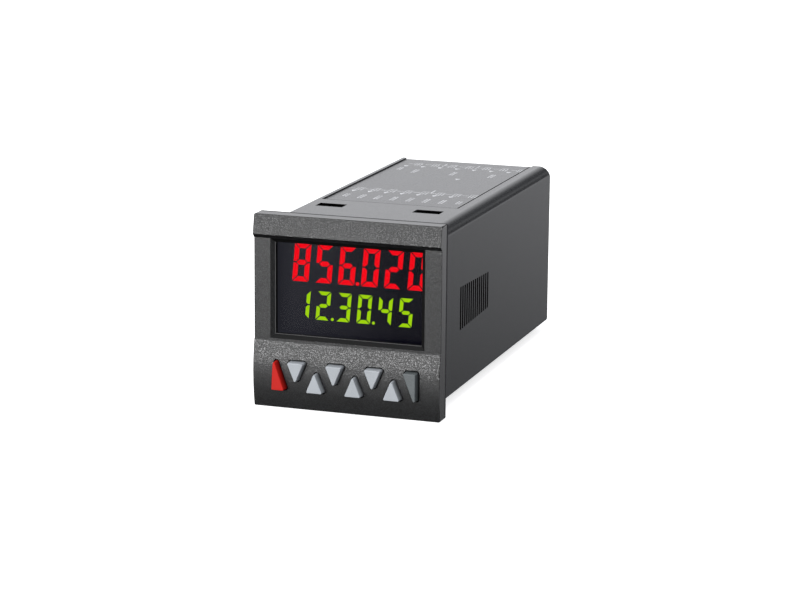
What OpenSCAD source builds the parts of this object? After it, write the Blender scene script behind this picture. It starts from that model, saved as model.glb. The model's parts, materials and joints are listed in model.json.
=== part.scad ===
// Electronic preset counter for a square panel cut-out
// X runs to the right, Y to the rear and Z up, in millimetres
// The origin is the centre of the panel's front surface, where the gasket seats

/* [Front bezel] */
// Width and height of the square bezel
bezel_size = 48; // [47:0.5:52]
// Thickness of the bezel at its side strips
bezel_depth = 3.3; // [3:0.1:5]
// Overlap of the bezel over the housing on each side
bezel_lap = 2.4; // [1.8:0.1:3]
// Rounding of the bezel's four corners, seen from the front
bezel_corner_r = 0.4; // [0.3:0.1:1.5]
// Rounding of the bezel's front edges
bezel_edge_r = 0.15; // [0.1:0.05:0.5]
// Thickness of the panel gasket
gasket_t = 0.9; // [0.5:0.1:1.5]
// Gap between the gasket's opening and the housing
gasket_clear = 0.4; // [0.2:0.1:0.8]

/* [Top bar] */
// Height of the bar above the window
bar_h = 4.9; // [4:0.1:7]
// How far the bar's lower edge stands in front of the side strips
bar_lift_low = 1.0; // [0.5:0.1:1.6]
// How far the bar's upper edge stands in front of the side strips
bar_lift_high = 0.1; // [-0.8:0.05:0.5]
// Height of the undercut below the bar
bar_undercut_h = 1.0; // [0.4:0.05:1.2]

/* [Window] */
// Width of each side strip beside the window
strip_w = 4.2; // [3.5:0.1:6]
// Land between the window and the key field
window_land = 0.4; // [0.2:0.1:1]
// Width of the bevel round the window
bevel_w = 0.95; // [0.5:0.05:1.4]
// Depth of the bevel round the window
bevel_d = 0.8; // [0.4:0.05:1.2]
// Depth of the straight wall behind the bevel
window_wall_d = 1.65; // [1:0.05:2]
// Thickness of the display window
lens_t = 1.0; // [0.8:0.1:1.6]
// Ledge that the display window lies on
lens_ledge = 0.6; // [0.4:0.05:0.9]
// Clearance round the display window
lens_clear = 0.1; // [0.05:0.05:0.2]

/* [Key field] */
// Height of the curved key field at the bezel's lower edge
field_h = 16.9; // [15.5:0.1:19]
// How far the field's upper edge stands in front of the side strips
field_step = 0.2; // [0.1:0.05:0.8]
// How far the field's lower edge stands in front of the side strips
field_step_low = 0.15; // [0.1:0.05:1]
// Rise of the field's curve above the straight line between its edges
field_rise = 0.85; // [0.4:0.05:1.6]
// Bevel of the field's lower edge
field_edge = 0.1; // [0.05:0.05:0.3]
// Depth of the key openings' guide wall behind the side strips
key_wall_d = 1.2; // [0.8:0.05:1.6]

/* [Keys] */
// Height of the middle of the key row above the bezel's lower edge
key_row_up = 8.5; // [8:0.1:9.2]
// Width of an arrow key
arrow_w = 4.26; // [3.6:0.02:4.6]
// Height of an arrow key
arrow_h = 4.9; // [4:0.1:5.6]
// Distance of the arrow keys' straight edges from the middle of the row
arrow_base = 3.7; // [3:0.1:4]
// Width of an end key
end_key_w = 3.45; // [2.8:0.05:4]
// Height of an end key
end_key_h = 7.2; // [6:0.1:7.8]
// Distance of the end keys' upright edges from the bezel's sides
end_key_inset = 5.35; // [5:0.05:6]
// Lean of the red end key's upright edge towards the middle
reset_lean = 0.3; // [0:0.05:0.4]
// Distance of the outer arrow keys' middles from the end keys' upright edges
arrow_inset = 6.275; // [5.8:0.025:6.6]
// Rounding of the keys' corners
key_r = 0.48; // [0.4:0.02:0.6]
// Rounding of the keys' front edges
key_edge_r = 0.2; // [0.1:0.02:0.3]
// Draft of the keys' sides in front of the key field
key_draft = 0.15; // [0.05:0.05:0.15]
// How far the keys' fronts stand in front of the side strips
key_reach = 2.9; // [2.7:0.1:4.5]
// Running gap round each key
key_gap = 0.3; // [0.2:0.05:0.4]
// Travel of each key
key_travel = 0.8; // [0.4:0.1:1]
// Width of the flange that keeps a key in
key_flange = 0.4; // [0.3:0.05:0.5]
// Thickness of that flange
key_flange_t = 0.8; // [0.6:0.05:1]
// Radius of the plunger behind a key
plunger_r = 0.9; // [0.7:0.05:1.1]
// Length of the plunger with its gap to the dome
plunger_l = 3; // [2:0.1:4]
// Gap between a key's flange and the guide wall
key_rest_gap = 0.25; // [0.2:0.05:0.4]

/* [Key mat] */
// Thickness of the mat's base
mat_t = 0.8; // [0.6:0.1:1.2]
// Radius of a dome at its foot
dome_r = 1.25; // [1.15:0.05:1.3]
// Radius of a dome at its crown
dome_top_r = 0.95; // [0.8:0.05:1.05]
// Wall of a dome
dome_wall = 0.4; // [0.3:0.05:0.45]
// Gap between a plunger and its dome
dome_gap = 0.2; // [0.1:0.05:0.3]
// Radius of the contact stud in a dome
stud_r = 0.3; // [0.2:0.05:0.4]
// Gap between a contact stud at rest and the board
stud_gap = 1; // [0.9:0.05:1.2]
// Margin of the mat round the domes
mat_margin = 0.15; // [0.1:0.05:0.25]

/* [Display] */
// Space between the window and the display glass
display_gap = 2.55; // [2:0.05:3.5]
// Thickness of the display glass
glass_t = 1.1; // [0.8:0.1:1.6]
// Thickness of the light guide
guide_t = 2.4; // [1.8:0.1:3.2]
// Overlap of the display glass past the window's inner edge
glass_lap = 0.55; // [0.4:0.05:0.7]
// Wall of the display frame
frame_wall = 0.5; // [0.4:0.05:0.6]
// Clearance of the display glass in its frame
frame_clear = 0.1; // [0.05:0.05:0.15]
// Lip of the frame in front of the display glass
frame_lip = 0.3; // [0.2:0.05:0.4]
// Thickness of the lit segments
segment_t = 0.15; // [0.1:0.05:0.3]
// Gap at a segment's ends
segment_gap = 0.2; // [0.1:0.02:0.26]
// Lean of the digits in degrees
digit_lean = 5; // [0:0.5:10]
// Space between the window's upper edge and the upper row
upper_margin_top = 0.98; // [0.5:0.01:2]
// Space between the window's left edge and the upper row
upper_margin_left = 2.45; // [1:0.05:4]
// Space between the upper row and the window's right edge
upper_margin_right = 1.3; // [1.2:0.05:3]
// Width of the upper row's digits
upper_digit_w = 4.2; // [3.6:0.05:4.6]
// Stroke of the upper row's segments
upper_stroke = 1.2; // [0.8:0.05:1.3]
// Space between the two rows
row_gap = 2.15; // [1:0.05:3]
// Height of the lower row's digits
lower_digit_h = 7.15; // [6:0.05:8]
// Space between the lower row and the window's lower edge
lower_margin_bottom = 3.12; // [2:0.01:4]
// Space between the window's left edge and the lower row
lower_margin_left = 3.25; // [2:0.05:5]
// Space between the lower row and the window's right edge
lower_margin_right = 4.4; // [2:0.05:5]
// Width of the lower row's digits
lower_digit_w = 3.45; // [3:0.05:4]
// Stroke of the lower row's segments
lower_stroke = 0.88; // [0.6:0.02:1]

/* [Housing] */
// Depth of the housing behind the panel
body_depth = 99; // [90:1:115]
// Wall of the housing
wall = 1.5; // [1.2:0.1:1.8]
// Wall at the housing's rear
rear_wall = 1.6; // [1.2:0.1:2.4]
// Radius of the large upper right corner
shoulder_r = 3.36; // [2.6:0.02:4]
// Width of that corner, which ends in a crease
shoulder_w = 3.25; // [2.4:0.05:3.35]
// Radius of the other corners
corner_r = 0.9; // [0.5:0.1:1.2]
// Distance of the label recess from the panel
recess_y = 31.5; // [30:0.5:40]
// Depth of the label recess
recess_d = 0.45; // [0.3:0.05:0.6]
// Rim left beside the recess on the left
recess_rim_left = 1.7; // [1.4:0.1:3]
// Rim left beside the recess on the right
recess_rim_right = 4.9; // [4:0.1:7]
// Thickness of the wiring label
label_t = 0.12; // [0.08:0.02:0.2]
// Margin of the label in its recess
label_margin = 0.25; // [0.1:0.05:0.5]
// Number of ventilation slits on each side
vent_count = 14; // [8:1:16]
// Spacing of the slits
vent_pitch = 1.75; // [1.4:0.05:2]
// Width of a slit
vent_w = 0.95; // [0.5:0.05:1.1]
// Height of the foremost slit
vent_h_front = 10.9; // [8:0.1:13]
// Height of the rearmost slit
vent_h_rear = 9.3; // [7:0.1:12]
// Distance of the foremost slit from the panel
vent_y = 18.7; // [16:0.1:24]
// Height of the slits' middle below the axis
vent_drop = 0.9; // [0:0.1:3]

/* [Latches] */
// Distance of the latch windows from the panel
latch_y = 22.4; // [18:0.1:24]
// Length of a latch window along the housing
latch_l = 4; // [3:0.1:5]
// Width of an upper latch window
latch_w = 7.1; // [5:0.1:8]
// Space between the lower latch windows and the keys beside them
low_latch_space = 1.45; // [1.4:0.05:2]
// Distance of the left upper latch's middle from the housing's left side
latch_inset_left = 6.95; // [6:0.05:9]
// Distance of the right upper latch's middle from the housing's right side
latch_inset_right = 10.65; // [9:0.05:13]
// Thickness of a latch arm
latch_arm_t = 0.85; // [0.8:0.05:1]
// Clearance of the latches in the housing
latch_clear = 0.2; // [0.1:0.05:0.25]
// How far a latch hook stays below the housing's surface
latch_sink = 0.9; // [0.3:0.1:1.1]

/* [Boards] */
// Thickness of the circuit boards
board_t = 1.6; // [1:0.1:1.7]
// Gap between a board's long edges and the housing
board_clear = 0.3; // [0.2:0.05:0.5]
// Distance of the long boards from the housing's inside
board_inset = 2.1; // [2:0.1:3]
// Gap between the front board and the long boards
board_gap = 2.5; // [2:0.1:4]
// Gap between the long boards and the rear wall
board_rear_gap = 0.9; // [0.5:0.1:2]
// Width of the guide ribs beside the boards
rib_w = 1.0; // [0.7:0.1:1.2]
// Height of the guide ribs beside the boards
rib_h = 1.0; // [0.6:0.1:1.1]
// Clearance of the boards between the ribs
rib_clear = 0.1; // [0.05:0.05:0.2]
// Distance of the front board's screws from the housing's inside
board_screw_inset = 5.1; // [4:0.1:8]
// Radius of the screw bosses
boss_r = 1.3; // [1.1:0.05:1.4]
// Radius of the screws' threads
board_screw_r = 0.7; // [0.5:0.05:0.8]
// Radius of the screws' heads
board_screw_head_r = 1.4; // [1.1:0.05:1.6]
// Radial clearance of the screws
screw_clear = 0.06; // [0.03:0.01:0.1]

/* [Terminals] */
// Spacing of the upper row's poles
upper_pole_pitch = 5.08; // [5:0.02:7.62]
// Spacing of the lower row's poles
lower_pole_pitch = 3.81; // [3.5:0.01:5.08]
// Height of a terminal plug
plug_h = 9.8; // [9:0.1:10.5]
// Wall of a plug beside its outer poles
plug_end = 0.2; // [0.1:0.05:0.4]
// How far the plugs stand out of the housing's rear
plug_proud = 7.5; // [5:0.1:10]
// Length of a plug inside the housing
plug_inside = 10.8; // [9:0.1:12]
// Wall of a terminal header
header_wall = 0.8; // [0.6:0.05:1]
// Thickness of a terminal header's floor
header_floor = 2; // [1.5:0.1:3]
// Clearance of a plug in its header and in the rear wall
plug_clear = 0.2; // [0.1:0.05:0.3]
// Width of a header pin
pin_w = 1.0; // [0.8:0.05:1.2]
// Length of a header pin in its plug
pin_reach = 6.8; // [5:0.1:7.5]
// Gap between a header and its pins' legs
pin_leg_gap = 0.7; // [0.4:0.1:1.5]
// Gap between a plug's front and its header's floor
plug_front_gap = 1; // [0.5:0.1:2]
// Clearance of a header pin
pin_clear = 0.15; // [0.05:0.05:0.25]
// Width of an upper wire entry
upper_entry_w = 2.7; // [2.2:0.1:3]
// Width of a lower wire entry
lower_entry_w = 2.1; // [1.6:0.1:2.3]
// Height of a wire entry
entry_h = 2.9; // [2.4:0.1:3.2]
// Radius of an upper terminal screw's head
upper_screw_r = 1.5; // [1.2:0.05:1.6]
// Radius of a lower terminal screw's head
lower_screw_r = 1.15; // [0.9:0.05:1.2]
// Distance of the wire entries and screws from a plug's middle
entry_offset = 2.35; // [2.1:0.05:2.5]

/* [Components] */
// Length of an output relay
relay_l = 20; // [15:0.5:22]
// Width of an output relay
relay_w = 10; // [8:0.5:11]
// Height of an output relay
relay_h = 10.4; // [8:0.1:12]
// Diameter of the reservoir capacitor
capacitor_d = 10; // [8:0.5:12]
// Height of the reservoir capacitor
capacitor_h = 15; // [10:0.5:16]
// Thickness of the transformer's coil
coil_t = 1.9; // [1.5:0.1:2.5]
// Clearance between the coil and the core
coil_clear = 0.1; // [0.05:0.05:0.2]
// Height of the transformer's core
core_h = 13; // [12:0.5:15]
// Thickness of the transformer's core
core_t = 5; // [4:0.5:6]
// Middle leg of the transformer's core
core_leg = 4; // [3:0.25:4.5]
// Outer legs and yokes of the transformer's core
core_side = 4; // [3:0.25:4.5]
// Side of the square control chip
chip_w = 10; // [7:0.5:12]
// Height of the control chip
chip_h = 1.5; // [1:0.1:2]

/* [Hidden] */
$fn = 48;

// Allowance that a cut passes the face it opens
past = 1;
// Steps in the round of a key's corner
corner_steps = 8;

// Layers of the front from the panel's surface forwards
half = bezel_size / 2;
y_bezel_rear = -gasket_t;
y_strip = y_bezel_rear - bezel_depth;
y_lens = y_strip + bevel_d + window_wall_d;
y_lens_rear = y_lens + lens_t;
y_key_wall = y_strip + key_wall_d;
y_key_front = y_strip - key_reach;
y_key_root = y_strip - field_rise;

// Layers behind the window
y_glass = y_lens_rear + display_gap;
y_guide = y_glass + glass_t;
y_board = y_guide + guide_t;
y_board_rear = y_board + board_t;

// Heights of the front's zones
z_bar = half - bar_h;
z_bar_foot = z_bar - bar_undercut_h;
z_field = -half + field_h;
z_keys = -half + key_row_up;

// Window and display
window_w = bezel_size - 2 * strip_w;
window_low = z_field + window_land;
window_h = z_bar_foot - window_low;
window_z = (z_bar_foot + window_low) / 2;
sight_w = window_w - 2 * bevel_w;
sight_h = window_h - 2 * bevel_w;
lens_w = sight_w + 2 * lens_ledge;
lens_h = sight_h + 2 * lens_ledge;
glass_w = sight_w + 2 * glass_lap;
glass_h = sight_h + 2 * glass_lap;
frame_in_w = glass_w + 2 * frame_clear;
frame_in_h = glass_h + 2 * frame_clear;
frame_w = frame_in_w + 2 * frame_wall;
frame_h = frame_in_h + 2 * frame_wall;

// Digits, placed from the window's edges
digit_count = 6;
upper_digit_h = sight_h - upper_margin_top - row_gap - lower_digit_h - lower_margin_bottom;
upper_digit_pitch = (sight_w - upper_margin_left - upper_margin_right - upper_digit_w) / (digit_count - 1);
lower_digit_pitch = (sight_w - lower_margin_left - lower_margin_right - lower_digit_w) / (digit_count - 1);
upper_x = -sight_w / 2 + upper_margin_left;
lower_x = -sight_w / 2 + lower_margin_left;
lower_z = window_z - sight_h / 2 + lower_margin_bottom;
upper_z = lower_z + lower_digit_h + row_gap;
upper_dot_r = 0.45;
lower_dot_r = 0.36;
upper_reading = [8, 5, 6, 0, 2, 0];
lower_reading = [1, 2, 3, 0, 4, 5];
upper_dots = [2];
lower_dots = [1, 3];
LIT = [
  "abcdef", "bc", "abged", "abgcd", "fgbc", "afgcd", "afgedc", "abc", "abcdefg", "abcdfg"
];

// Housing
body_w = bezel_size - 2 * bezel_lap;
body_h = bezel_size - 2 * bezel_lap;
inner_w = body_w - 2 * wall;
inner_h = body_h - 2 * wall;
y_rear_inside = body_depth - rear_wall;
recess_left = -body_w / 2 + recess_rim_left;
recess_right = body_w / 2 - recess_rim_right;
z_recess = body_h / 2 - recess_d;

// Long boards, mirrored about the axis
z_board_top = inner_h / 2 - board_inset;
z_board = z_board_top - board_t;
long_board_w = inner_w - 2 * board_clear;
y_long = y_board_rear + board_gap;
y_long_end = y_rear_inside - board_rear_gap;
front_board_w = inner_w - 2 * board_clear;
front_board_h = 2 * (inner_h / 2 - latch_clear - latch_arm_t - board_clear);
z_board_screw = (z_field + window_land + bevel_w - glass_lap - frame_clear - frame_wall
  + z_keys + arrow_base + key_gap + key_flange + key_gap) / 2;

board_screw_x = inner_w / 2 - board_screw_inset;

// Keys
arrow_count = 6;
end_key_x = half - end_key_inset;
key_pitch = 2 * (end_key_x - arrow_inset) / (arrow_count - 1);
key_hole_r = key_r + key_gap;
key_flange_r = key_hole_r + key_flange;
key_pocket_r = key_flange_r + key_gap;
y_flange = y_key_wall + key_rest_gap;
y_flange_rear = y_flange + key_flange_t;
y_mat = y_board - mat_t;
dome_h = y_mat - y_flange_rear - plunger_l;
y_dome = y_mat - dome_h;
y_plunger = y_dome - dome_gap;
low_latch_xs = [-2.5 * key_pitch, 1.5 * key_pitch];
low_latch_w = key_pitch - low_latch_space;
latch_xs = [-body_w / 2 + latch_inset_left, body_w / 2 - latch_inset_right];

// Terminals, mirrored about the axis, with as many poles as fit between the guide ribs
row_space = inner_w - 2 * (rib_w + header_wall + plug_clear + plug_end);
upper_poles = floor(row_space / upper_pole_pitch);
lower_poles = floor(row_space / lower_pole_pitch);
row_z = z_board - header_wall - plug_clear - plug_h / 2;
y_plug = body_depth - plug_inside;
y_plug_end = body_depth + plug_proud;
y_header = y_plug - header_floor - plug_front_gap;
y_header_end = y_rear_inside - plug_clear;
pin_leg_y = y_header - pin_leg_gap - pin_w / 2;
y_pin_end = y_plug + pin_reach;
link_count = 10;
link_pitch = 2.54;
link_pin_w = 0.6;
link_block = 2.4;
z_link = z_board - link_block / 2;

// A flat outline carried along Y from y0 to y1, its own axes becoming X and Z
module along_y(y0, y1) {
  translate([0, y1, 0])
    rotate([90, 0, 0])
      linear_extrude(height = y1 - y0)
        children();
}

// A flat outline carried along X from x0 to x1, its own axes becoming Y and Z
module along_x(x0, x1) {
  translate([x0, 0, 0])
    rotate([90, 0, 90])
      linear_extrude(height = x1 - x0)
        children();
}

// A box between two corners
module block(low, high) {
  translate(low)
    cube(high - low);
}

// A round bar along Y
module rod(x, y0, y1, z, r) {
  translate([x, y0, z])
    rotate([-90, 0, 0])
      cylinder(h = y1 - y0, r = r);
}

// A rectangle with round corners, centred
module round_rect(w, h, r) {
  square([w - 2 * r, h], center = true);
  square([w, h - 2 * r], center = true);
  for (sx = [-1, 1], sy = [-1, 1])
    translate([sx * (w / 2 - r), sy * (h / 2 - r)])
      circle(r = r);
}

// Outline of a polygon, given anticlockwise, grown by r with round corners
function outward(p, q) = atan2(p[0] - q[0], q[1] - p[1]);
function grown_points(pts, r) = [
  for (i = [0 : len(pts) - 1])
    let (
      n = len(pts),
      from = outward(pts[(i + n - 1) % n], pts[i]),
      to = outward(pts[i], pts[(i + 1) % n]),
      turn = to > from ? to - from : to - from + 360
    )
      for (k = [0 : corner_steps])
        let (a = from + turn * k / corner_steps)
          pts[i] + r * [cos(a), sin(a)]
];

module grown(pts, r) {
  polygon(grown_points(pts, r));
}

// Core outlines of the keys, which grow by key_r to the keys themselves
arrow_core = [arrow_w - 2 * key_r, arrow_h - 2 * key_r];
end_core = [end_key_w - 2 * key_r, end_key_h - 2 * key_r];
arrow_core_base = arrow_base - key_r;
end_core_x = end_key_x - key_r;

function up_core(x) = [
  [x - arrow_core[0] / 2, z_keys - arrow_core_base],
  [x + arrow_core[0] / 2, z_keys - arrow_core_base],
  [x, z_keys - arrow_core_base + arrow_core[1]]
];
function turned(pts) = [for (p = pts) [-p[0], 2 * z_keys - p[1]]];
function down_core(x) = turned(up_core(-x));
function end_outline(lean) = [
  [-end_core_x, z_keys - arrow_core_base],
  [-end_core_x + end_core[0], z_keys - arrow_core_base],
  [-end_core_x + lean, z_keys - arrow_core_base + end_core[1]]
];
function reset_core() = end_outline(reset_lean);
function mode_core() = turned(end_outline(0));
function middle(pts) = (pts[0] + pts[1] + pts[2]) / 3;

KEY_CORES = [
  reset_core(),
  down_core(-2.5 * key_pitch), up_core(-1.5 * key_pitch),
  down_core(-0.5 * key_pitch), up_core(0.5 * key_pitch),
  down_core(1.5 * key_pitch), up_core(2.5 * key_pitch),
  mode_core()
];

// Overrun of the front's rounded side edges, which the bezel's sides trim
strip_over = 0.02;
field_over = 0.025;
bar_over = 0.03;

// Circle of the key field through its two edges with the given rise, in Y and Z
field_low = [y_strip - field_step_low, -half];
field_top = [y_strip - field_step, z_field];
field_chord = norm(field_top - field_low);
field_r = (pow(field_chord / 2, 2) + pow(field_rise, 2)) / (2 * field_rise);
field_run = (field_top - field_low) / field_chord;
field_centre = (field_low + field_top) / 2 + (field_r - field_rise) * [field_run[1], -field_run[0]];

// Front of the bezel: the curved key field
module key_field() {
  intersection() {
    translate([0, field_centre[0], field_centre[1]])
      rotate([0, 90, 0])
        rotate_extrude($fn = 96)
          intersection() {
            round_rect(2 * field_r, bezel_size + 2 * field_over, bezel_edge_r);
            translate([0, -half - past])
              square([field_r, bezel_size + 2 * past]);
          }
    along_x(-half - past, half + past)
      polygon([
        [y_bezel_rear, -half],
        [y_bezel_rear, z_field],
        [y_strip, z_field],
        [y_strip - 4, z_field - 4],
        [field_low[0] - 4, -half + 4 + field_edge],
        [field_low[0] + field_edge, -half]
      ]);
  }
}

// Front of the bezel: the sloping bar above the window
module top_bar() {
  slope = atan((bar_lift_low - bar_lift_high) / bar_h);
  intersection() {
    along_x(-half - past, half + past)
      polygon([
        [y_bezel_rear, z_bar_foot],
        [y_strip, z_bar_foot],
        [y_strip - bar_lift_low, z_bar],
        [y_strip - bar_lift_high - bezel_edge_r * tan(slope), half - bezel_edge_r],
        [y_strip - bar_lift_high + bezel_edge_r, half],
        [y_bezel_rear, half]
      ]);
    translate([0, y_strip - bar_lift_low, z_bar])
      rotate([-slope, 0, 0])
        translate([0, half, -half])
          linear_extrude(height = bezel_size)
            round_rect(bezel_size + 2 * bar_over, bezel_size, bezel_edge_r);
  }
}

// Front of the bezel: the strips beside the window
module side_strips() {
  intersection() {
    block(
      [-half - past, y_strip, z_field - bar_undercut_h / 2],
      [half + past, y_bezel_rear, z_bar_foot + bar_undercut_h / 2]
    );
    translate([0, y_strip + half, -half])
      linear_extrude(height = bezel_size)
        round_rect(bezel_size + 2 * strip_over, bezel_size, bezel_edge_r);
  }
}

// Opening of the window: bevel, straight wall and the pocket that the window lies in
module window_opening() {
  reach = bevel_w / bevel_d * past;
  intersection() {
    translate([0, 0, window_low - past])
      linear_extrude(height = window_h + 2 * past)
        polygon([
          [-window_w / 2 - reach, y_strip - past],
          [window_w / 2 + reach, y_strip - past],
          [sight_w / 2, y_strip + bevel_d],
          [-sight_w / 2, y_strip + bevel_d]
        ]);
    along_x(-half - past, half + past)
      polygon([
        [y_strip - past, window_z - window_h / 2 - reach],
        [y_strip + bevel_d, window_z - sight_h / 2],
        [y_strip + bevel_d, window_z + sight_h / 2],
        [y_strip, window_z + window_h / 2],
        [y_strip - past, window_z + window_h / 2]
      ]);
  }
  along_y(y_strip, y_bezel_rear + past)
    translate([0, window_z])
      square([sight_w, sight_h], center = true);
  along_y(y_lens, y_bezel_rear + past)
    translate([0, window_z])
      square([lens_w + 2 * lens_clear, lens_h + 2 * lens_clear], center = true);
}

// A latch arm along the housing's upper inside wall, with a ramped hook in its window
module latch(x, w) {
  z_arm = inner_h / 2 - latch_clear;
  z_hook = body_h / 2 - latch_sink;
  y0 = latch_y + latch_clear;
  y1 = latch_y + latch_l - latch_clear;
  arm_w = w - 2 * latch_clear;
  along_x(x - arm_w / 2, x + arm_w / 2)
    polygon([
      [y_bezel_rear - past, z_arm - latch_arm_t],
      [y1, z_arm - latch_arm_t],
      [y1, z_arm],
      [(y0 + y1) / 2, z_hook],
      [y0, z_hook],
      [y0, z_arm],
      [y_bezel_rear - past, z_arm]
    ]);
}

module front_bezel() {
  color("#4a4b4d") {
    difference() {
      intersection() {
        union() {
          key_field();
          top_bar();
          side_strips();
        }
        along_y(y_strip - 4, y_bezel_rear)
          round_rect(bezel_size, bezel_size, bezel_corner_r);
      }
      window_opening();
      for (core = KEY_CORES) {
        along_y(y_strip - 4, y_bezel_rear)
          grown(core, key_hole_r);
        along_y(y_key_wall, y_bezel_rear + past)
          grown(core, key_pocket_r);
      }
    }
    for (x = latch_xs)
      latch(x, latch_w);
    for (x = low_latch_xs)
      mirror([0, 0, 1])
        latch(x, low_latch_w);
    for (sx = [-1, 1])
      difference() {
        rod(sx * board_screw_x, y_bezel_rear - past / 2, y_board, z_board_screw, boss_r);
        rod(sx * board_screw_x, y_bezel_rear, y_board + past, z_board_screw, board_screw_r + screw_clear);
      }
  }
}

module panel_gasket() {
  color("#1c1d1f")
    along_y(y_bezel_rear, 0)
      difference() {
        round_rect(bezel_size, bezel_size, bezel_corner_r);
        square([body_w + 2 * gasket_clear, body_h + 2 * gasket_clear], center = true);
      }
}

module display_window() {
  color([0.1, 0.1, 0.12, 0.5])
    along_y(y_lens, y_lens_rear)
      translate([0, window_z])
        square([lens_w, lens_h], center = true);
}

module display_glass() {
  color("#1e1e26")
    along_y(y_glass, y_guide)
      translate([0, window_z])
        square([glass_w, glass_h], center = true);
}

// Outline of one segment of a digit of width w, height h and stroke t
function segment_outline(name, w, h, t) =
  let (g = segment_gap, m = h / 2)
    name == "a" ? [[g, h], [w - g, h], [w - t - g, h - t], [t + g, h - t]] :
    name == "d" ? [[g, 0], [t + g, t], [w - t - g, t], [w - g, 0]] :
    name == "g" ? [[t / 2 + g, m], [t + g, m + t / 2], [w - t - g, m + t / 2], [w - t / 2 - g, m],
      [w - t - g, m - t / 2], [t + g, m - t / 2]] :
    name == "f" ? [[0, h - g], [t, h - t - g], [t, m + t / 2 + g], [t / 2, m + g], [0, m + g]] :
    name == "b" ? [[w, h - g], [w - t, h - t - g], [w - t, m + t / 2 + g], [w - t / 2, m + g], [w, m + g]] :
    name == "e" ? [[0, g], [t, t + g], [t, m - t / 2 - g], [t / 2, m - g], [0, m - g]] :
    [[w, g], [w - t, t + g], [w - t, m - t / 2 - g], [w - t / 2, m - g], [w, m - g]];
function leaning(pts) = [for (p = pts) [p[0] + p[1] * tan(digit_lean), p[1]]];

// One row of lit digits on the display glass, with round points after the places in dots
module digit_row(reading, dots, x, z, w, h, t, pitch, dot_r) {
  along_y(y_glass - segment_t, y_glass)
    translate([x, z]) {
      for (i = [0 : len(reading) - 1], name = LIT[reading[i]])
        translate([i * pitch, 0])
          polygon(leaning(segment_outline(name, w, h, t)));
      for (i = dots)
        translate([i * pitch + (w + pitch) / 2, dot_r])
          circle(r = dot_r);
    }
}

module upper_digits() {
  color("#ff0019")
    digit_row(upper_reading, upper_dots, upper_x, upper_z,
      upper_digit_w, upper_digit_h, upper_stroke, upper_digit_pitch, upper_dot_r);
}

module lower_digits() {
  color("#a5dc00")
    digit_row(lower_reading, lower_dots, lower_x, lower_z,
      lower_digit_w, lower_digit_h, lower_stroke, lower_digit_pitch, lower_dot_r);
}

module light_guide() {
  color("#eef0ee")
    along_y(y_guide, y_board)
      translate([0, window_z])
        square([glass_w, glass_h], center = true);
}

// Frame that holds the display glass and the light guide in front of the front board
module display_frame() {
  color("#17181a")
    translate([0, 0, window_z])
      difference() {
        along_y(y_lens_rear, y_board)
          square([frame_w, frame_h], center = true);
        along_y(y_glass, y_board + past)
          square([frame_in_w, frame_in_h], center = true);
        along_y(y_lens_rear - past, y_board)
          square([glass_w - 2 * frame_lip, glass_h - 2 * frame_lip], center = true);
      }
}

// Places of the pins that link the front board with a long board
function link_xs() = [for (i = [0 : link_count - 1]) (i - (link_count - 1) / 2) * link_pitch];

module front_board() {
  color("#1f5a3a")
    difference() {
      along_y(y_board, y_board_rear)
        square([front_board_w, front_board_h], center = true);
      for (sx = [-1, 1])
        rod(
          sx * board_screw_x, y_board - past, y_board_rear + past,
          z_board_screw, board_screw_r + screw_clear
        );
      for (x = link_xs(), s = [-1, 1])
        rod(x, y_board - past, y_board_rear + past, s * z_link, link_pin_w * 0.75);
    }
}

module board_screws() {
  head_t = 1.1;
  slot_w = 0.5;
  color("#b9bcc0")
    for (sx = [-1, 1])
      difference() {
        union() {
          rod(sx * board_screw_x, y_bezel_rear + past, y_board_rear, z_board_screw, board_screw_r);
          rod(sx * board_screw_x, y_board_rear, y_board_rear + head_t, z_board_screw, board_screw_head_r);
        }
        translate([sx * board_screw_x, y_board_rear + head_t, z_board_screw])
          cube([3 * board_screw_head_r, head_t, slot_w], center = true);
      }
}

// Silicone mat with a hollow dome and a contact stud behind each key
module key_mat() {
  mids = [for (core = KEY_CORES) middle(core)];
  x_edge = max([for (m = mids) m[0]]) + dome_r + mat_margin;
  z_low = min([for (m = mids) m[1]]) - dome_r - mat_margin;
  z_high = max([for (m = mids) m[1]]) + dome_r + mat_margin;
  color("#c9ccce")
    difference() {
      union() {
        block([-x_edge, y_mat, z_low], [x_edge, y_board, z_high]);
        for (m = mids)
          translate([m[0], y_dome, m[1]])
            rotate([-90, 0, 0])
              cylinder(h = dome_h + mat_t / 2, r1 = dome_top_r, r2 = dome_r);
      }
      for (m = mids)
        translate([m[0], y_dome + 2 * dome_wall, m[1]])
          rotate([-90, 0, 0])
            difference() {
              cylinder(h = dome_h + mat_t, r1 = dome_top_r - dome_wall, r2 = dome_r - dome_wall);
              translate([0, 0, -past])
                cylinder(h = dome_h + mat_t - 2 * dome_wall - stud_gap + past, r = stud_r);
            }
    }
}

// Cap of a key: rings of its outline from the round front edge to y_rear
module key_cap(core, y_rear) {
  edge_steps = 4;
  rings = concat(
    [for (i = [edge_steps : -1 : 0])
      let (a = 90 * i / edge_steps)
        [y_key_front + key_edge_r * (1 - sin(a)), key_r - key_draft - key_edge_r * (1 - cos(a))]],
    [[y_key_root, key_r], [y_rear, key_r]]
  );
  n = len(grown_points(core, key_r));
  last = len(rings) - 1;
  polyhedron(
    points = [for (ring = rings) for (p = grown_points(core, ring[1])) [p[0], ring[0], p[1]]],
    faces = concat(
      [[for (i = [n - 1 : -1 : 0]) i]],
      [for (k = [0 : last - 1], i = [0 : n - 1])
        [k * n + i, k * n + (i + 1) % n, (k + 1) * n + (i + 1) % n, (k + 1) * n + i]],
      [[for (i = [0 : n - 1]) last * n + i]]
    )
  );
}

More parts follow.
